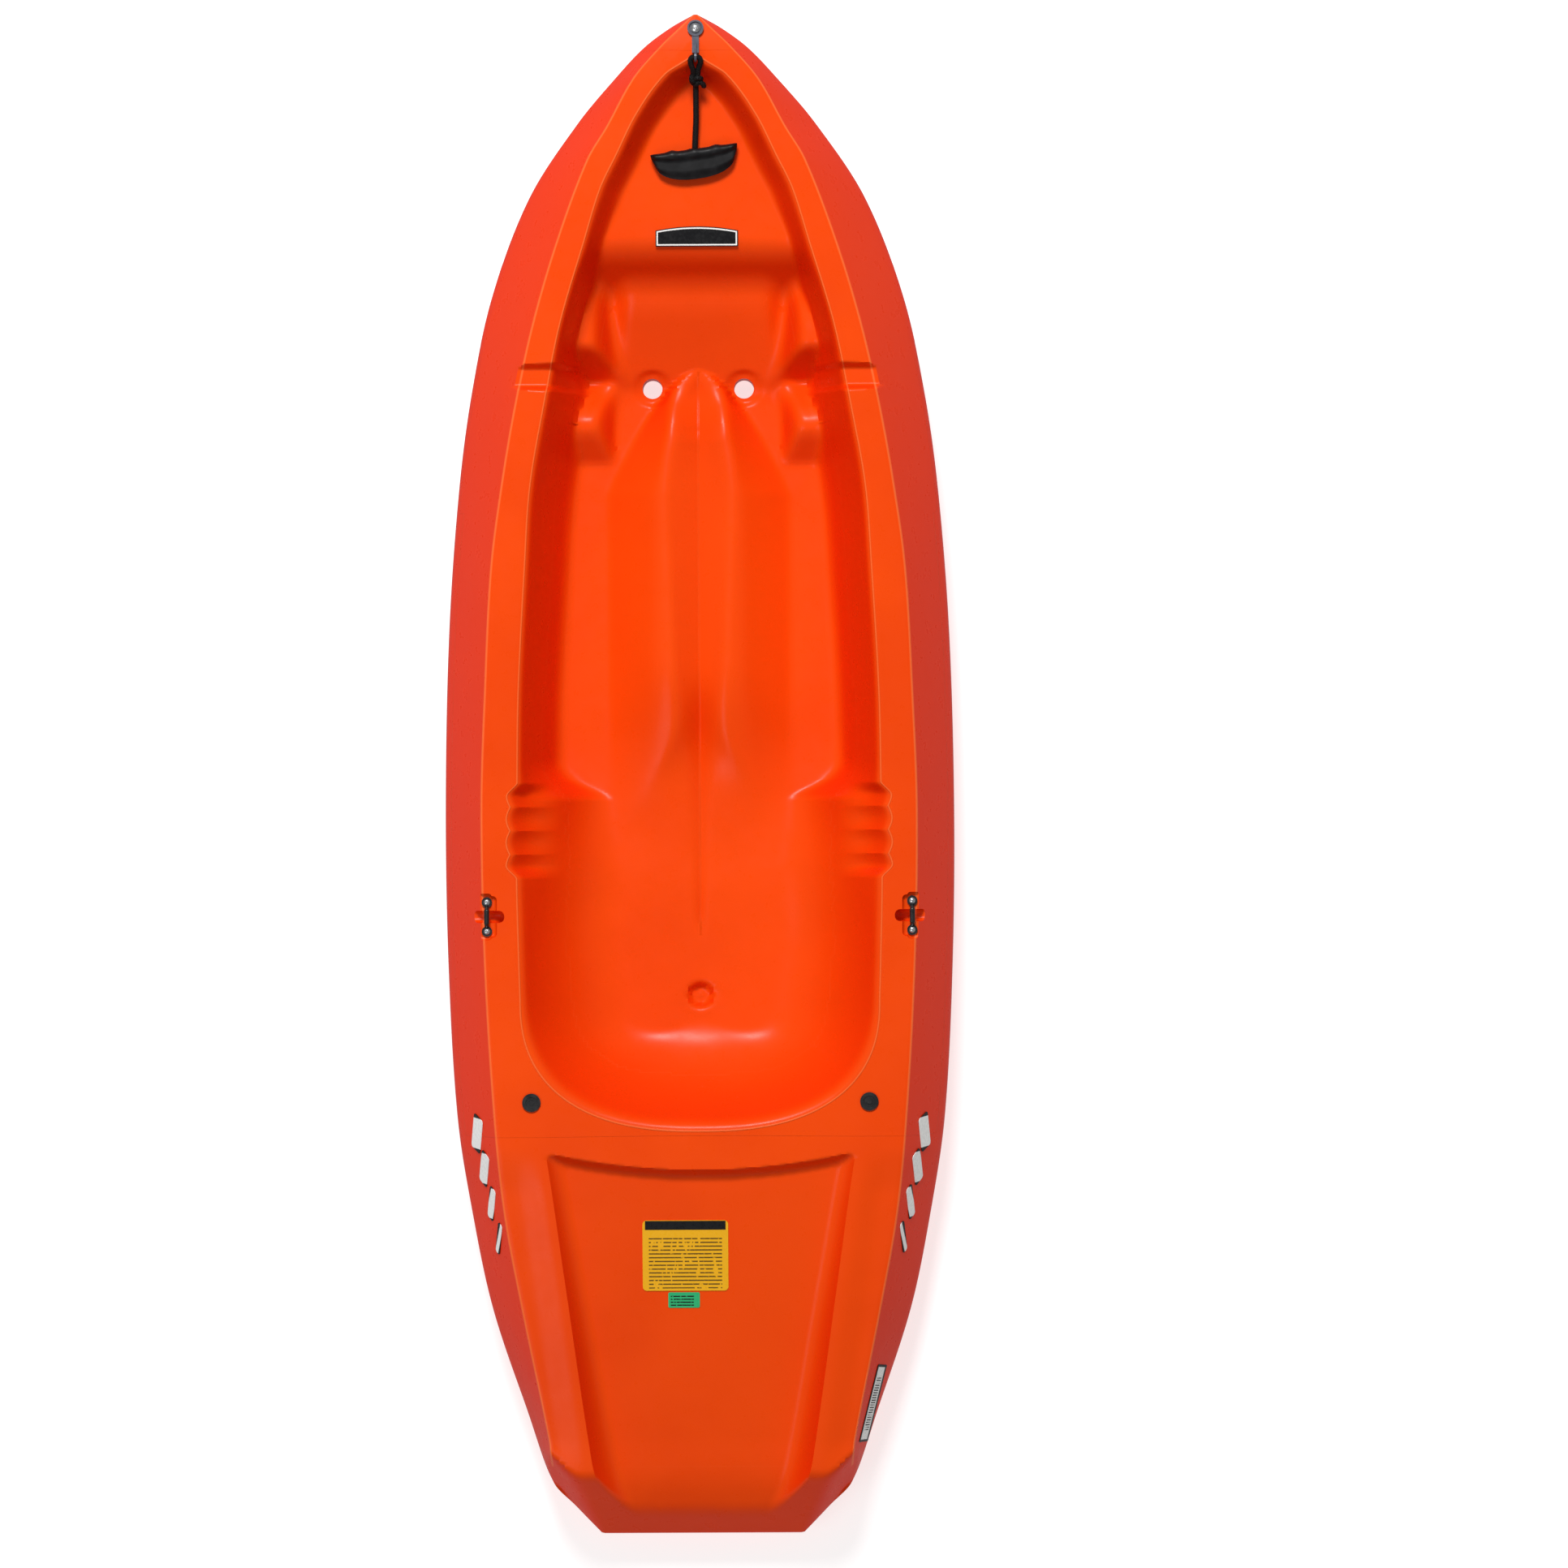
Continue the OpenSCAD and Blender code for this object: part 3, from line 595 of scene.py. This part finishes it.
# %% The hull's orange plastic
DEEP_ORANGE, LIGHT_ORANGE = (0.80, 0.056, 0.0015), (0.86, 0.066, 0.002)
# The steep colour is painted shade for steep faces, and the edge colour is a painted highlight for the rim's
# and rail's lines.
STEEP_PAINTED_SHADE, SCUFFED, EDGE_PAINTED_HIGHLIGHT = (0.80, 0.026, 0.0004), (0.90, 0.18, 0.06), (0.95, 0.20, 0.055)
orange, tree, shader = material_named("orange_polyethylene", (0.84, 0.066, 0.003), 0.3, specular=0.12)
space = object_mapping(tree)
cloud = remap(tree, noise(tree, space, 5.0, 4.0), 0.3, 0.7, 0.0, 1.0)
flat_shade = tint(tree, cloud, DEEP_ORANGE, LIGHT_ORANGE)
facing = tree.nodes.new("ShaderNodeNewGeometry")
parts = tree.nodes.new("ShaderNodeSeparateXYZ")
tree.links.new(facing.outputs["Normal"], parts.inputs["Vector"])
level = remap(tree, parts.outputs["Z"], 0.25, 0.97, 0.0, 1.0)
# Painted shade: steep faces, read from the surface normal, take a darker and redder colour than level ones.
shade = tint(tree, level, STEEP_PAINTED_SHADE, flat_shade)
scuff_space = object_mapping(tree, scale=(60, 9, 14), turn=(0, 0, 0.35))
scuff = remap(tree, noise(tree, scuff_space, 1.0, 5.0, 0.6), 0.72, 0.84, 0.0, 0.05)
shade = tint(tree, scuff, shade, SCUFFED)
gloss = remap(tree, noise(tree, space, 60.0, 5.0, 0.6), 0.25, 0.75, 0.26, 0.34)
tree.links.new(gloss, shader.inputs["Roughness"])


def raised_line(tree, attribute, inner, outer):
    """1 on a line at no distance, falling to 0 at the outer distance, from a value kept at each vertex."""
    kept = tree.nodes.new("ShaderNodeAttribute")
    kept.attribute_name = attribute
    away = tree.nodes.new("ShaderNodeMath")
    away.operation = "ABSOLUTE"
    tree.links.new(kept.outputs["Fac"], away.inputs[0])
    return remap(tree, away.outputs[0], inner, outer, 1.0, 0.0)


rim_bead_and_highlight = raised_line(tree, "rim_distance", 0.0003, 0.0016)
seam_line = raised_line(tree, "seam_distance", 0.0002, 0.0014)
rail_highlight_line = raised_line(tree, "rail_distance", 0.0004, 0.0020)
# Painted highlight: thin lighter lines along the rail's outer edge and the cockpit's rim, where a rounded edge
# catches the light.
shade = tint(tree, remap(tree, rail_highlight_line, 0.0, 1.0, 0.0, 0.55), shade, EDGE_PAINTED_HIGHLIGHT)
shade = tint(tree, remap(tree, rim_bead_and_highlight, 0.0, 1.0, 0.0, 0.45), shade, EDGE_PAINTED_HIGHLIGHT)
tree.links.new(shade, shader.inputs["Base Color"])
normal = bump(tree, noise(tree, space, 9.0, 2.0), 0.004, 0.25)
normal = bump(tree, noise(tree, space, 900.0, 2.0), 0.00012, 0.35, normal)
normal = bump(tree, rim_bead_and_highlight, 0.0006, 1.0, normal)
normal = bump(tree, seam_line, 0.0007, 1.0, normal)
tree.links.new(normal, shader.inputs["Normal"])

# %% Keep the distances and finish the hull
FAR = 0.05


def keep_at_vertices(name, values):
    """Keeps one distance at each vertex of the hull, for its material to read."""
    layer = deck.data.attributes.new(name, "FLOAT", "POINT")
    layer.data.foreach_set("value", values.astype(np.float32))


hull_points = points_of(deck)
half_width, along = np.abs(hull_points[:, 0]), hull_points[:, 1]
from_rim = np.clip(inside(half_width, along), -50, 50) / 1000
on_deck = (hull_points[:, 2] > 100) & (along > -430) & (along < 872)
keep_at_vertices("rim_distance", np.where(on_deck, from_rim, FAR))
in_well = (hull_points[:, 2] > 50) & (along > -190) & (along < 494)
keep_at_vertices("seam_distance", np.where(in_well, half_width / 1000, FAR))
from_rail = np.clip(half_width - rail_w(along), -50, 50) / 1000
keep_at_vertices("rail_distance", np.where(hull_points[:, 2] > 110, from_rail, FAR))
finish_piece(deck, "hull_group", orange, ("hull",), angle=40)

# %% [markdown]
# ## Black fittings
# Pad eyes, plugs and the grip are black nylon and rubber. Black plastic is never one tone: it has a fine
# moulded grain, two close tones and a soft change of gloss. The steel screws have fine streaks and worn
# patches, and the tow tab is a grey-blue moulding. All but the grip keep the shapes of the CAD.

# %% Materials of the fittings
def grained(name, base, pale, rough, grain, specular=0.5):
    """A moulded material: two close tones, a fine grain and a slow change of gloss."""
    made, tree, shader = material_named(name, base, rough, specular=specular)
    space = object_mapping(tree)
    tone = remap(tree, noise(tree, space, 70.0, 5.0, 0.6), 0.35, 0.75, 0.0, 1.0)
    tree.links.new(tint(tree, tone, base, pale), shader.inputs["Base Color"])
    gloss = remap(tree, noise(tree, space, 160.0, 4.0), 0.3, 0.7, rough - 0.06, rough + 0.1)
    tree.links.new(gloss, shader.inputs["Roughness"])
    height = bump(tree, noise(tree, space, grain, 3.0), 0.00015, 0.4)
    tree.links.new(height, shader.inputs["Normal"])
    return made


black_nylon = grained("black_nylon", (0.006, 0.006, 0.007), (0.014, 0.014, 0.015), 0.3, 1500.0)
grip_rubber = grained("grip_rubber", (0.004, 0.004, 0.0045), (0.011, 0.011, 0.012), 0.45, 1100.0, 0.16)
tab_plastic = grained("tab_plastic", (0.055, 0.058, 0.085), (0.085, 0.088, 0.12), 0.35, 1300.0)

steel, tree, shader = material_named("screw_steel", (0.62, 0.63, 0.65), 0.24, metal=1.0)
space = object_mapping(tree)
streak = noise(tree, object_mapping(tree, scale=(900, 900, 2500)), 1.0, 4.0, 0.7)
worn = remap(tree, noise(tree, space, 400.0, 3.0), 0.35, 0.7, 0.0, 1.0)
tree.links.new(tint(tree, worn, (0.7, 0.71, 0.73), (0.5, 0.5, 0.52)), shader.inputs["Base Color"])
tree.links.new(remap(tree, streak, 0.3, 0.7, 0.16, 0.38), shader.inputs["Roughness"])
tree.links.new(bump(tree, streak, 0.00008, 0.4), shader.inputs["Normal"])


def dress(material, *names):
    """Gives carried-over nodes their finished material, and leaves their meshes alone."""
    for name in names:
        for spot in bpy.data.objects[name].material_slots:
            spot.material = material
    print(material.name, "on", ", ".join(names))


dress(black_nylon, "pad_eye_port", "pad_eye_starboard", "deck_plug_port", "deck_plug_starboard")
dress(steel, "pad_eye_screws_port", "pad_eye_screws_starboard", "tow_tab_screw")
dress(tab_plastic, "tow_tab")

# %% [markdown]
# ## Printed films
# The labels are thin printed films. Their print is generic: borders, a header and plain bars stand where the
# real ones have lettering. Each bar or panel is a box measured in the material from the label's middle.

# %% Printed areas from node boxes
def joined(tree, kind, a, b):
    n = tree.nodes.new("ShaderNodeMath")
    n.operation = kind
    for socket, value in zip(n.inputs, (a, b)):
        if isinstance(value, (int, float)):
            socket.default_value = value
        else:
            tree.links.new(value, socket)
    return n.outputs[0]


def box_area(tree, x, y, half_x, half_y, turn=0.0, edge=0.0004):
    """1 inside a box about (x, y) in metres, seen from above, and 0 outside it."""
    c, s = math.cos(turn), math.sin(turn)
    flat = tree.nodes.new("ShaderNodeSeparateXYZ")
    tree.links.new(object_mapping(tree, move=(-x, -y, 0)), flat.inputs["Vector"])
    across = joined(tree, "ADD", joined(tree, "MULTIPLY", flat.outputs["X"], c),
                    joined(tree, "MULTIPLY", flat.outputs["Y"], s))
    along = joined(tree, "SUBTRACT", joined(tree, "MULTIPLY", flat.outputs["Y"], c),
                   joined(tree, "MULTIPLY", flat.outputs["X"], s))
    out_x = joined(tree, "SUBTRACT", joined(tree, "ABSOLUTE", across, 0.0), half_x)
    out_y = joined(tree, "SUBTRACT", joined(tree, "ABSOLUTE", along, 0.0), half_y)
    area = remap(tree, joined(tree, "MAXIMUM", out_x, out_y), -edge, edge, 1.0, 0.0)
    return area, across, along


def bars(tree, area, place, pitch, share, breaks):
    """Printed bars across an area: a repeat along the place, broken up by a coarse noise."""
    wave = joined(tree, "FRACT", joined(tree, "DIVIDE", place, pitch), 0.0)
    ink = remap(tree, wave, share - 0.04, share + 0.04, 1.0, 0.0)
    return joined(tree, "MULTIPLY", joined(tree, "MULTIPLY", area, ink), breaks)


def film(name, base, rough=0.3):
    made, tree, shader = material_named(name, base, rough, specular=0.2)
    space = object_mapping(tree)
    tree.links.new(remap(tree, noise(tree, space, 240.0, 4.0), 0.3, 0.7, rough - 0.08, rough + 0.12),
                   shader.inputs["Roughness"])
    tree.links.new(bump(tree, noise(tree, space, 60.0, 2.0), 0.0003, 0.2), shader.inputs["Normal"])
    soil = remap(tree, noise(tree, space, 45.0, 5.0), 0.45, 0.8, 0.0, 0.25)
    return made, tree, shader, soil


def print_on(tree, shader, colour):
    tree.links.new(colour, shader.inputs["Base Color"])


# %% Badge, labels and streaks
INK, WHITE = (0.008, 0.008, 0.009), (0.82, 0.82, 0.8)
badge_film, tree, shader, soil = film("badge_film", INK, 0.24)
BADGE_Y, BADGE_HALF, ARCH_R = 0.652, (0.0495, 0.012), 0.252


def badge_area(tree, inset):
    """1 inside the badge's outline drawn in by the inset; the top is an arc about a far centre."""
    flat = tree.nodes.new("ShaderNodeSeparateXYZ")
    tree.links.new(object_mapping(tree, move=(0, -BADGE_Y, 0)), flat.inputs["Vector"])
    side = joined(tree, "SUBTRACT", joined(tree, "ABSOLUTE", flat.outputs["X"], 0.0), BADGE_HALF[0] - inset)
    foot = joined(tree, "SUBTRACT", inset - BADGE_HALF[1], flat.outputs["Y"])
    rise = joined(tree, "ADD", flat.outputs["Y"], ARCH_R - BADGE_HALF[1])
    far = joined(tree, "SQRT", joined(tree, "ADD", joined(tree, "MULTIPLY", rise, rise),
                 joined(tree, "MULTIPLY", flat.outputs["X"], flat.outputs["X"])), 0.0)
    top = joined(tree, "SUBTRACT", far, ARCH_R - inset)
    return remap(tree, joined(tree, "MAXIMUM", joined(tree, "MAXIMUM", side, foot), top),
                 -0.0003, 0.0003, 1.0, 0.0)


ring = joined(tree, "SUBTRACT", badge_area(tree, 0.0012), badge_area(tree, 0.0028))
print_on(tree, shader, tint(tree, ring, tint(tree, soil, INK, (0.02, 0.02, 0.02)), WHITE))

yellow_film, tree, shader, soil = film("yellow_film", (0.83, 0.42, 0.012))
ground = tint(tree, soil, (0.83, 0.42, 0.012), (0.7, 0.33, 0.01))
header = box_area(tree, -0.019, -0.5355, 0.0485, 0.0055)[0]
text_area, _, along = box_area(tree, -0.019, -0.580, 0.044, 0.032)
breaks = remap(tree, noise(tree, object_mapping(tree, scale=(210, 60, 1)), 1.0, 2.0), 0.36, 0.44, 0.0, 1.0)
lines = bars(tree, text_area, along, 0.0046, 0.36, breaks)
ground = tint(tree, joined(tree, "MULTIPLY", lines, 0.85), ground, INK)
print_on(tree, shader, tint(tree, header, ground, INK))

green_film, tree, shader, soil = film("green_film", (0.03, 0.44, 0.17))
ground = tint(tree, soil, (0.03, 0.44, 0.17), (0.02, 0.3, 0.12))
text_area, _, along = box_area(tree, -0.023, -0.626, 0.014, 0.0072)
breaks = remap(tree, noise(tree, object_mapping(tree, scale=(420, 90, 1)), 1.0, 2.0), 0.36, 0.44, 0.0, 1.0)
print_on(tree, shader, tint(tree, bars(tree, text_area, along, 0.0036, 0.45, breaks), ground, INK))

white_film, tree, shader, soil = film("white_film", WHITE)
SERIAL_X, SERIAL_Y, SERIAL_TURN = 0.206, -0.754, math.radians(-14)
ground = tint(tree, soil, WHITE, (0.6, 0.6, 0.57))
inner = box_area(tree, SERIAL_X, SERIAL_Y, 0.0040, 0.0455, SERIAL_TURN)[0]
code, _, along = box_area(tree, SERIAL_X, SERIAL_Y, 0.0028, 0.034, SERIAL_TURN)
breaks = remap(tree, noise(tree, object_mapping(tree, scale=(60, 330, 1)), 1.0, 1.0), 0.3, 0.5, 0.3, 1.0)
ground = tint(tree, bars(tree, code, along, 0.0031, 0.5, breaks), ground, INK)
print_on(tree, shader, tint(tree, inner, INK, ground))

streak_film, tree, shader, soil = film("streak_film", INK, 0.26)
whole = None
for side in (-1, 1):
    for step in range(4):
        middle = (side * mix(269, 243, step / 3) / 1000, (-425 - 42 * step) / 1000)
        area = box_area(tree, *middle, (9.5 - 2.5 * step) / 1000, 0.018, side * math.radians(12))[0]
        whole = area if whole is None else joined(tree, "MAXIMUM", whole, area)
print_on(tree, shader, tint(tree, whole, tint(tree, soil, INK, (0.03, 0.03, 0.03)), WHITE))

dress(badge_film, "bow_badge")
dress(yellow_film, "caution_label")
dress(green_film, "inspection_label")
dress(streak_film, "side_graphic_port", "side_graphic_starboard")

# %% [markdown]
# ## Serial label
# The serial label is a long strip on the starboard flank, near the stern. It is a thin plate with rounded
# corners, divided along its length and laid on the hull by dropping each of its points onto the flank.

# %% The strip on the flank
strip_piece = new_piece(bpy.ops.mesh.primitive_plane_add, "serial_strip", size=1)
strip_piece.scale = (0.011, 0.097, 1)
only(strip_piece)
bpy.ops.object.transform_apply(location=True, rotation=True, scale=True)
bpy.ops.object.mode_set(mode="EDIT")
bpy.ops.mesh.select_all(action="SELECT")
bpy.ops.mesh.bevel(offset=0.0012, segments=4, affect="VERTICES")
bpy.ops.mesh.select_all(action="SELECT")
bpy.ops.mesh.extrude_region_move(TRANSFORM_OT_translate={"value": (0, 0, 0.0005)})
leave_edit()
for step in range(1, 12):
    edit_all(strip_piece)
    bpy.ops.mesh.bisect(plane_co=(0, -0.0485 + 0.097 * step / 12, 0), plane_no=(0, 1, 0))
    leave_edit()
turned = Matrix.Rotation(SERIAL_TURN, 4, "Z")
for corner in strip_piece.data.vertices:
    spot = turned @ corner.co + Vector((SERIAL_X, SERIAL_Y, 0))
    ground_z = float(top_z(np.array(spot.x * 1000), np.array(spot.y * 1000))) / 1000
    corner.co = Vector((spot.x + corner.co.z * 0.9, spot.y, ground_z + 0.0006 + corner.co.z))
edit_all(strip_piece)
bpy.ops.mesh.normals_make_consistent(inside=False)
leave_edit()
finish_piece(strip_piece, "hull_group", white_film, ("serial_label",))

# %% [markdown]
# ## Rope and knot
# The tow rope is a short length of braided cord, tied through the tab's lug. A strand is a line with a round
# section; the knot is such a strand led twice round with three crossings, as an overhand knot is, below the
# loop. The weave is drawn on the strand's own map, so that it follows every bend.

# %% A round strand along a line
def smooth_path(points, steps=6):
    """More points on a smooth curve through the given ones."""
    p = np.array(points, float)
    last = len(p) - 1
    made = []
    for k in range(last):
        a, b, c, d = (p[min(max(i, 0), last)] for i in (k - 1, k, k + 1, k + 2))
        for u in np.arange(steps) / steps:
            bend = 2 * a - 5 * b + 4 * c - d + u * (3 * (b - c) + d - a)
            made.append(b + 0.5 * u * (c - a + u * bend))
    made.append(p[-1])
    return np.array(made)


def strand_along(name, points, radius, closed=False, lay=6.0):
    """A strand of round section along points in millimetres, with its map's length in turns of the lay."""
    deselect()
    bpy.ops.curve.primitive_nurbs_path_add()
    strand = bpy.context.active_object
    strand.name = name
    strand.data.splines.clear()
    spline = strand.data.splines.new("POLY")
    spline.points.add(len(points) - 1)
    for spot, p in zip(spline.points, points):
        spot.co = (*(c / 1000 for c in p), 1)
    spline.use_cyclic_u = closed
    strand.data.dimensions = "3D"
    strand.data.bevel_depth = radius / 1000
    strand.data.bevel_resolution = 4
    strand.data.use_fill_caps = not closed
    only(strand)
    bpy.ops.object.convert(target="MESH")
    strand = bpy.context.active_object
    bpy.ops.object.transform_apply(location=True, rotation=True, scale=True)
    length = float(np.linalg.norm(np.diff(points, axis=0), axis=1).sum())
    for corner in strand.data.uv_layers[0].data:
        corner.uv = (corner.uv[0] * length / lay, corner.uv[1])
    edit_all(strand)
    bpy.ops.mesh.remove_doubles(threshold=0.000001)
    bpy.ops.mesh.normals_make_consistent(inside=False)
    leave_edit()
    print(name, "length", round(length, 1), "mm", len(strand.data.polygons), "faces")
    return strand


# %% Braided black cord
braid, tree, shader = material_named("black_braid", (0.006, 0.006, 0.007), 0.6, specular=0.2)
turns = tree.nodes.new("ShaderNodeUVMap")
turns.uv_map = "UVMap"
flat = tree.nodes.new("ShaderNodeSeparateXYZ")
tree.links.new(turns.outputs["UV"], flat.inputs["Vector"])
run = joined(tree, "MULTIPLY", flat.outputs["X"], 3.0)
round_it = joined(tree, "MULTIPLY", flat.outputs["Y"], 4.0)
lean_a = joined(tree, "PINGPONG", joined(tree, "ADD", run, round_it), 0.5)
lean_b = joined(tree, "PINGPONG", joined(tree, "SUBTRACT", run, round_it), 0.5)
weave = joined(tree, "MULTIPLY", joined(tree, "MULTIPLY", lean_a, lean_b), 4.0)
fluff = noise(tree, object_mapping(tree), 1800.0, 4.0, 0.7)
tree.links.new(tint(tree, weave, (0.002, 0.002, 0.002), (0.016, 0.016, 0.017)), shader.inputs["Base Color"])
tree.links.new(remap(tree, fluff, 0.3, 0.7, 0.5, 0.8), shader.inputs["Roughness"])
normal = bump(tree, weave, 0.0009, 1.0)
tree.links.new(bump(tree, fluff, 0.0002, 0.5, normal), shader.inputs["Normal"])

# %% The free length of rope
ROPE_D = 7.0
ROPE_ROUTE = ((0, 830.5, 201.7), (0, 826, 198.6), (0, 821, 196), (0, 815, 193.6), (0, 808, 191.4),
              (0, 801, 189.6), (0, 794, 188), (-0.2, 787, 186.8), (-0.5, 781, 185.8), (-0.8, 775, 185),
              (-1.1, 769, 184.3), (-1.4, 763, 183.7), (-1.7, 757, 183.2), (-1.9, 752, 182.8),
              (-2, 747, 182.5))
rope_path = smooth_path(ROPE_ROUTE)
rope = strand_along("tow_rope_braid", rope_path, ROPE_D / 2)
finish_piece(rope, "rope", braid, ("tow_rope",), angle=60)

# %% The loop through the tab and the knot below it
HINGE = Vector((0, 862.5, 232.4))
HANG = math.radians(43.8)
hanging = Matrix.Translation(HINGE / 1000) @ Matrix.Rotation(HANG, 4, "X")
BIGHT = 5.9
loop_points = [(-2.6, -27, 0), (-2.9, -21, 0.4), (-4.2, -15.5, 0.6), (-5.8, -10, 0.3)]
loop_points += [(-BIGHT * math.cos(t), -BIGHT + BIGHT * math.sin(t), 0)
                for t in np.linspace(0, math.pi, 9)]
loop_points += [(5.8, -10, -0.3), (4.2, -15.5, -0.6), (2.9, -21, -0.4), (2.6, -27, 0)]
loop = strand_along("knot_loop", smooth_path(loop_points, 3), ROPE_D / 2 - 0.1)
KNOT_R, KNOT_Y, KNOT_THICK, KNOT_NARROW = 2.35, -34.2, 3.1, 0.86
wrap_points = [(KNOT_R * (2 + math.cos(3 * t)) * math.cos(2 * t) * KNOT_NARROW,
                KNOT_Y + KNOT_R * (2 + math.cos(3 * t)) * math.sin(2 * t), KNOT_THICK * math.sin(3 * t))
               for t in np.linspace(0, 2 * math.pi, 73)[:-1]]
wraps = strand_along("tow_knot_braid", wrap_points, ROPE_D / 2 - 0.2, closed=True)
tail_points = [(3, -36, 2), (7, -38.5, 2.6), (9.4, -42, 2.2), (9.6, -44.5, 1.6)]
tail = strand_along("knot_tail", smooth_path(tail_points, 4), ROPE_D / 2 - 0.4)
only(wraps)
loop.select_set(True)
tail.select_set(True)
bpy.ops.object.join()
wraps.matrix_world = hanging
finish_piece(wraps, "rope", braid, ("tow_knot",), angle=60)

# %% [markdown]
# ## Grip
# The grip is a half-moon of black rubber. Its straight edge is rolled to the width of a finger, with three
# small humps, and it thins to its belly. A subdivided block takes this outline from an arc, so the whole
# grip stays one closed skin. A cone cut, in line with the rope, leaves its mouth, and a short round pocket
# at the pivot leaves room for the rope's end when the grip turns.

# %% The half-moon
GRIP_LONG, GRIP_DEEP, GRIP_THICK, GRIP_EDGE = 105.0, 36.0, 17.0, 9.0
GRIP_REST = math.radians(7.7)
grip = new_piece(bpy.ops.mesh.primitive_cube_add, "grip_moulding", size=2)
edit_all(grip)
bpy.ops.mesh.subdivide(number_cuts=27)
leave_edit()
for corner in grip.data.vertices:
    u, v, w = corner.co
    depth = (1 - v) / 2
    belly = math.sqrt(max(1 - abs(u) ** 2.4, 0.0)) * 0.7 + 0.3
    x = GRIP_LONG / 2 * (u * 0.985 + 0.015 * math.sin(math.pi * u / 2)) * (1 - 0.05 * depth * depth)
    y = GRIP_EDGE - GRIP_DEEP * belly * depth
    roll = math.sqrt(max(1 - ((depth - 0.17) / 0.17) ** 2, 0.0)) if depth < 0.17 else 1.0
    thin = 1 - 0.42 * ease((depth - 0.2) / 0.2) - 0.42 * ease((depth - 0.72) / 0.28)
    ends = math.sqrt(max(1 - ((abs(u) - 0.94) / 0.06) ** 2, 0.06)) if abs(u) > 0.94 else 1.0
    humps = sum(math.exp(-((x - hump) / 4.6) ** 2) for hump in (-26.5, 0, 26.5)) * (depth < 0.3)
    half = GRIP_THICK / 2 * (0.25 + 0.75 * roll) * thin * ends
    corner.co = Vector((x, y + 2.2 * humps * (1 - depth / 0.3), w * (half + 1.3 * humps * roll))) / 1000
smooth = grip.modifiers.new("smooth", "SUBSURF")
smooth.levels = 1
smooth.render_levels = 1
apply_modifiers(grip)
edit_all(grip)
bpy.ops.mesh.normals_make_consistent(inside=False)
leave_edit()
mouth = new_piece(bpy.ops.mesh.primitive_cone_add, "mouth_cutter", vertices=48, radius1=0.0042,
                  radius2=0.0092, depth=0.02, location=(0, 0.011, 0), rotation=(-math.pi / 2, 0, 0))
mouth.rotation_euler = (0, 0, -GRIP_REST)
only(mouth)
bpy.ops.object.transform_apply(location=True, rotation=True, scale=True)
pocket = new_piece(bpy.ops.mesh.primitive_cylinder_add, "pocket_cutter", vertices=48, radius=0.0048,
                   depth=0.0082)
cut_away(grip, [mouth, pocket])
pivot = Vector(ROPE_ROUTE[-1]) / 1000
grip.matrix_world = Matrix.Translation(pivot) @ Matrix.Rotation(GRIP_REST, 4, "Z")
finish_piece(grip, "grip", grip_rubber, ("grip",), angle=50)

# %% [markdown]
# ## Floor and light
# A pale studio floor, one large soft box above and ahead of the bow, a weaker one at the port side, and an
# even white surround, as for a catalogue picture. The floor gives off a soft light of its own. It is hidden
# from reflections, because its reflection turns the flanks pale.

# %% Studio
studio_floor = new_piece(bpy.ops.mesh.primitive_plane_add, "studio_floor", size=30, location=(0, 0, -0.002))
pale, tree, shader = material_named("pale_floor", (0.5, 0.5, 0.5), 0.9, specular=0.1)
shader.inputs["Emission Color"].default_value = (1, 1, 1, 1)
shader.inputs["Emission Strength"].default_value = 0.7
studio_floor.data.materials.append(pale)
studio_floor.visible_glossy = False
studio_floor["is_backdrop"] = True


def soft_box(name, place, target, size, power):
    data = bpy.data.lights.new(name, "AREA")
    data.shape = "DISK"
    data.size = size
    data.energy = power
    lamp = bpy.data.objects.new(name, data)
    bpy.context.scene.collection.objects.link(lamp)
    lamp.location = place
    lamp.rotation_euler = (Vector(target) - Vector(place)).to_track_quat("-Z", "Y").to_euler()
    lamp.visible_camera = False


soft_box("key", (-0.5, 3.6, 5.0), (0, 0.1, 0), size=1.6, power=330)
soft_box("fill", (-1.8, -1.6, 4.0), (0, -0.2, 0), size=2.0, power=30)
surround = bpy.data.worlds.new("white_surround")
surround.use_nodes = True
surround.node_tree.nodes["Background"].inputs[0].default_value = (1, 1, 1, 1)
surround.node_tree.nodes["Background"].inputs[1].default_value = 0.28
bpy.context.scene.world = surround
bpy.context.scene.view_settings.view_transform = "Standard"

# %% [markdown]
# ## Size of the visual model
# The box that the visual model fills is printed.

# %% Print the visual box
low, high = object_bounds()
print("visual box", [round(v, 4) for v in (*low, *high)])
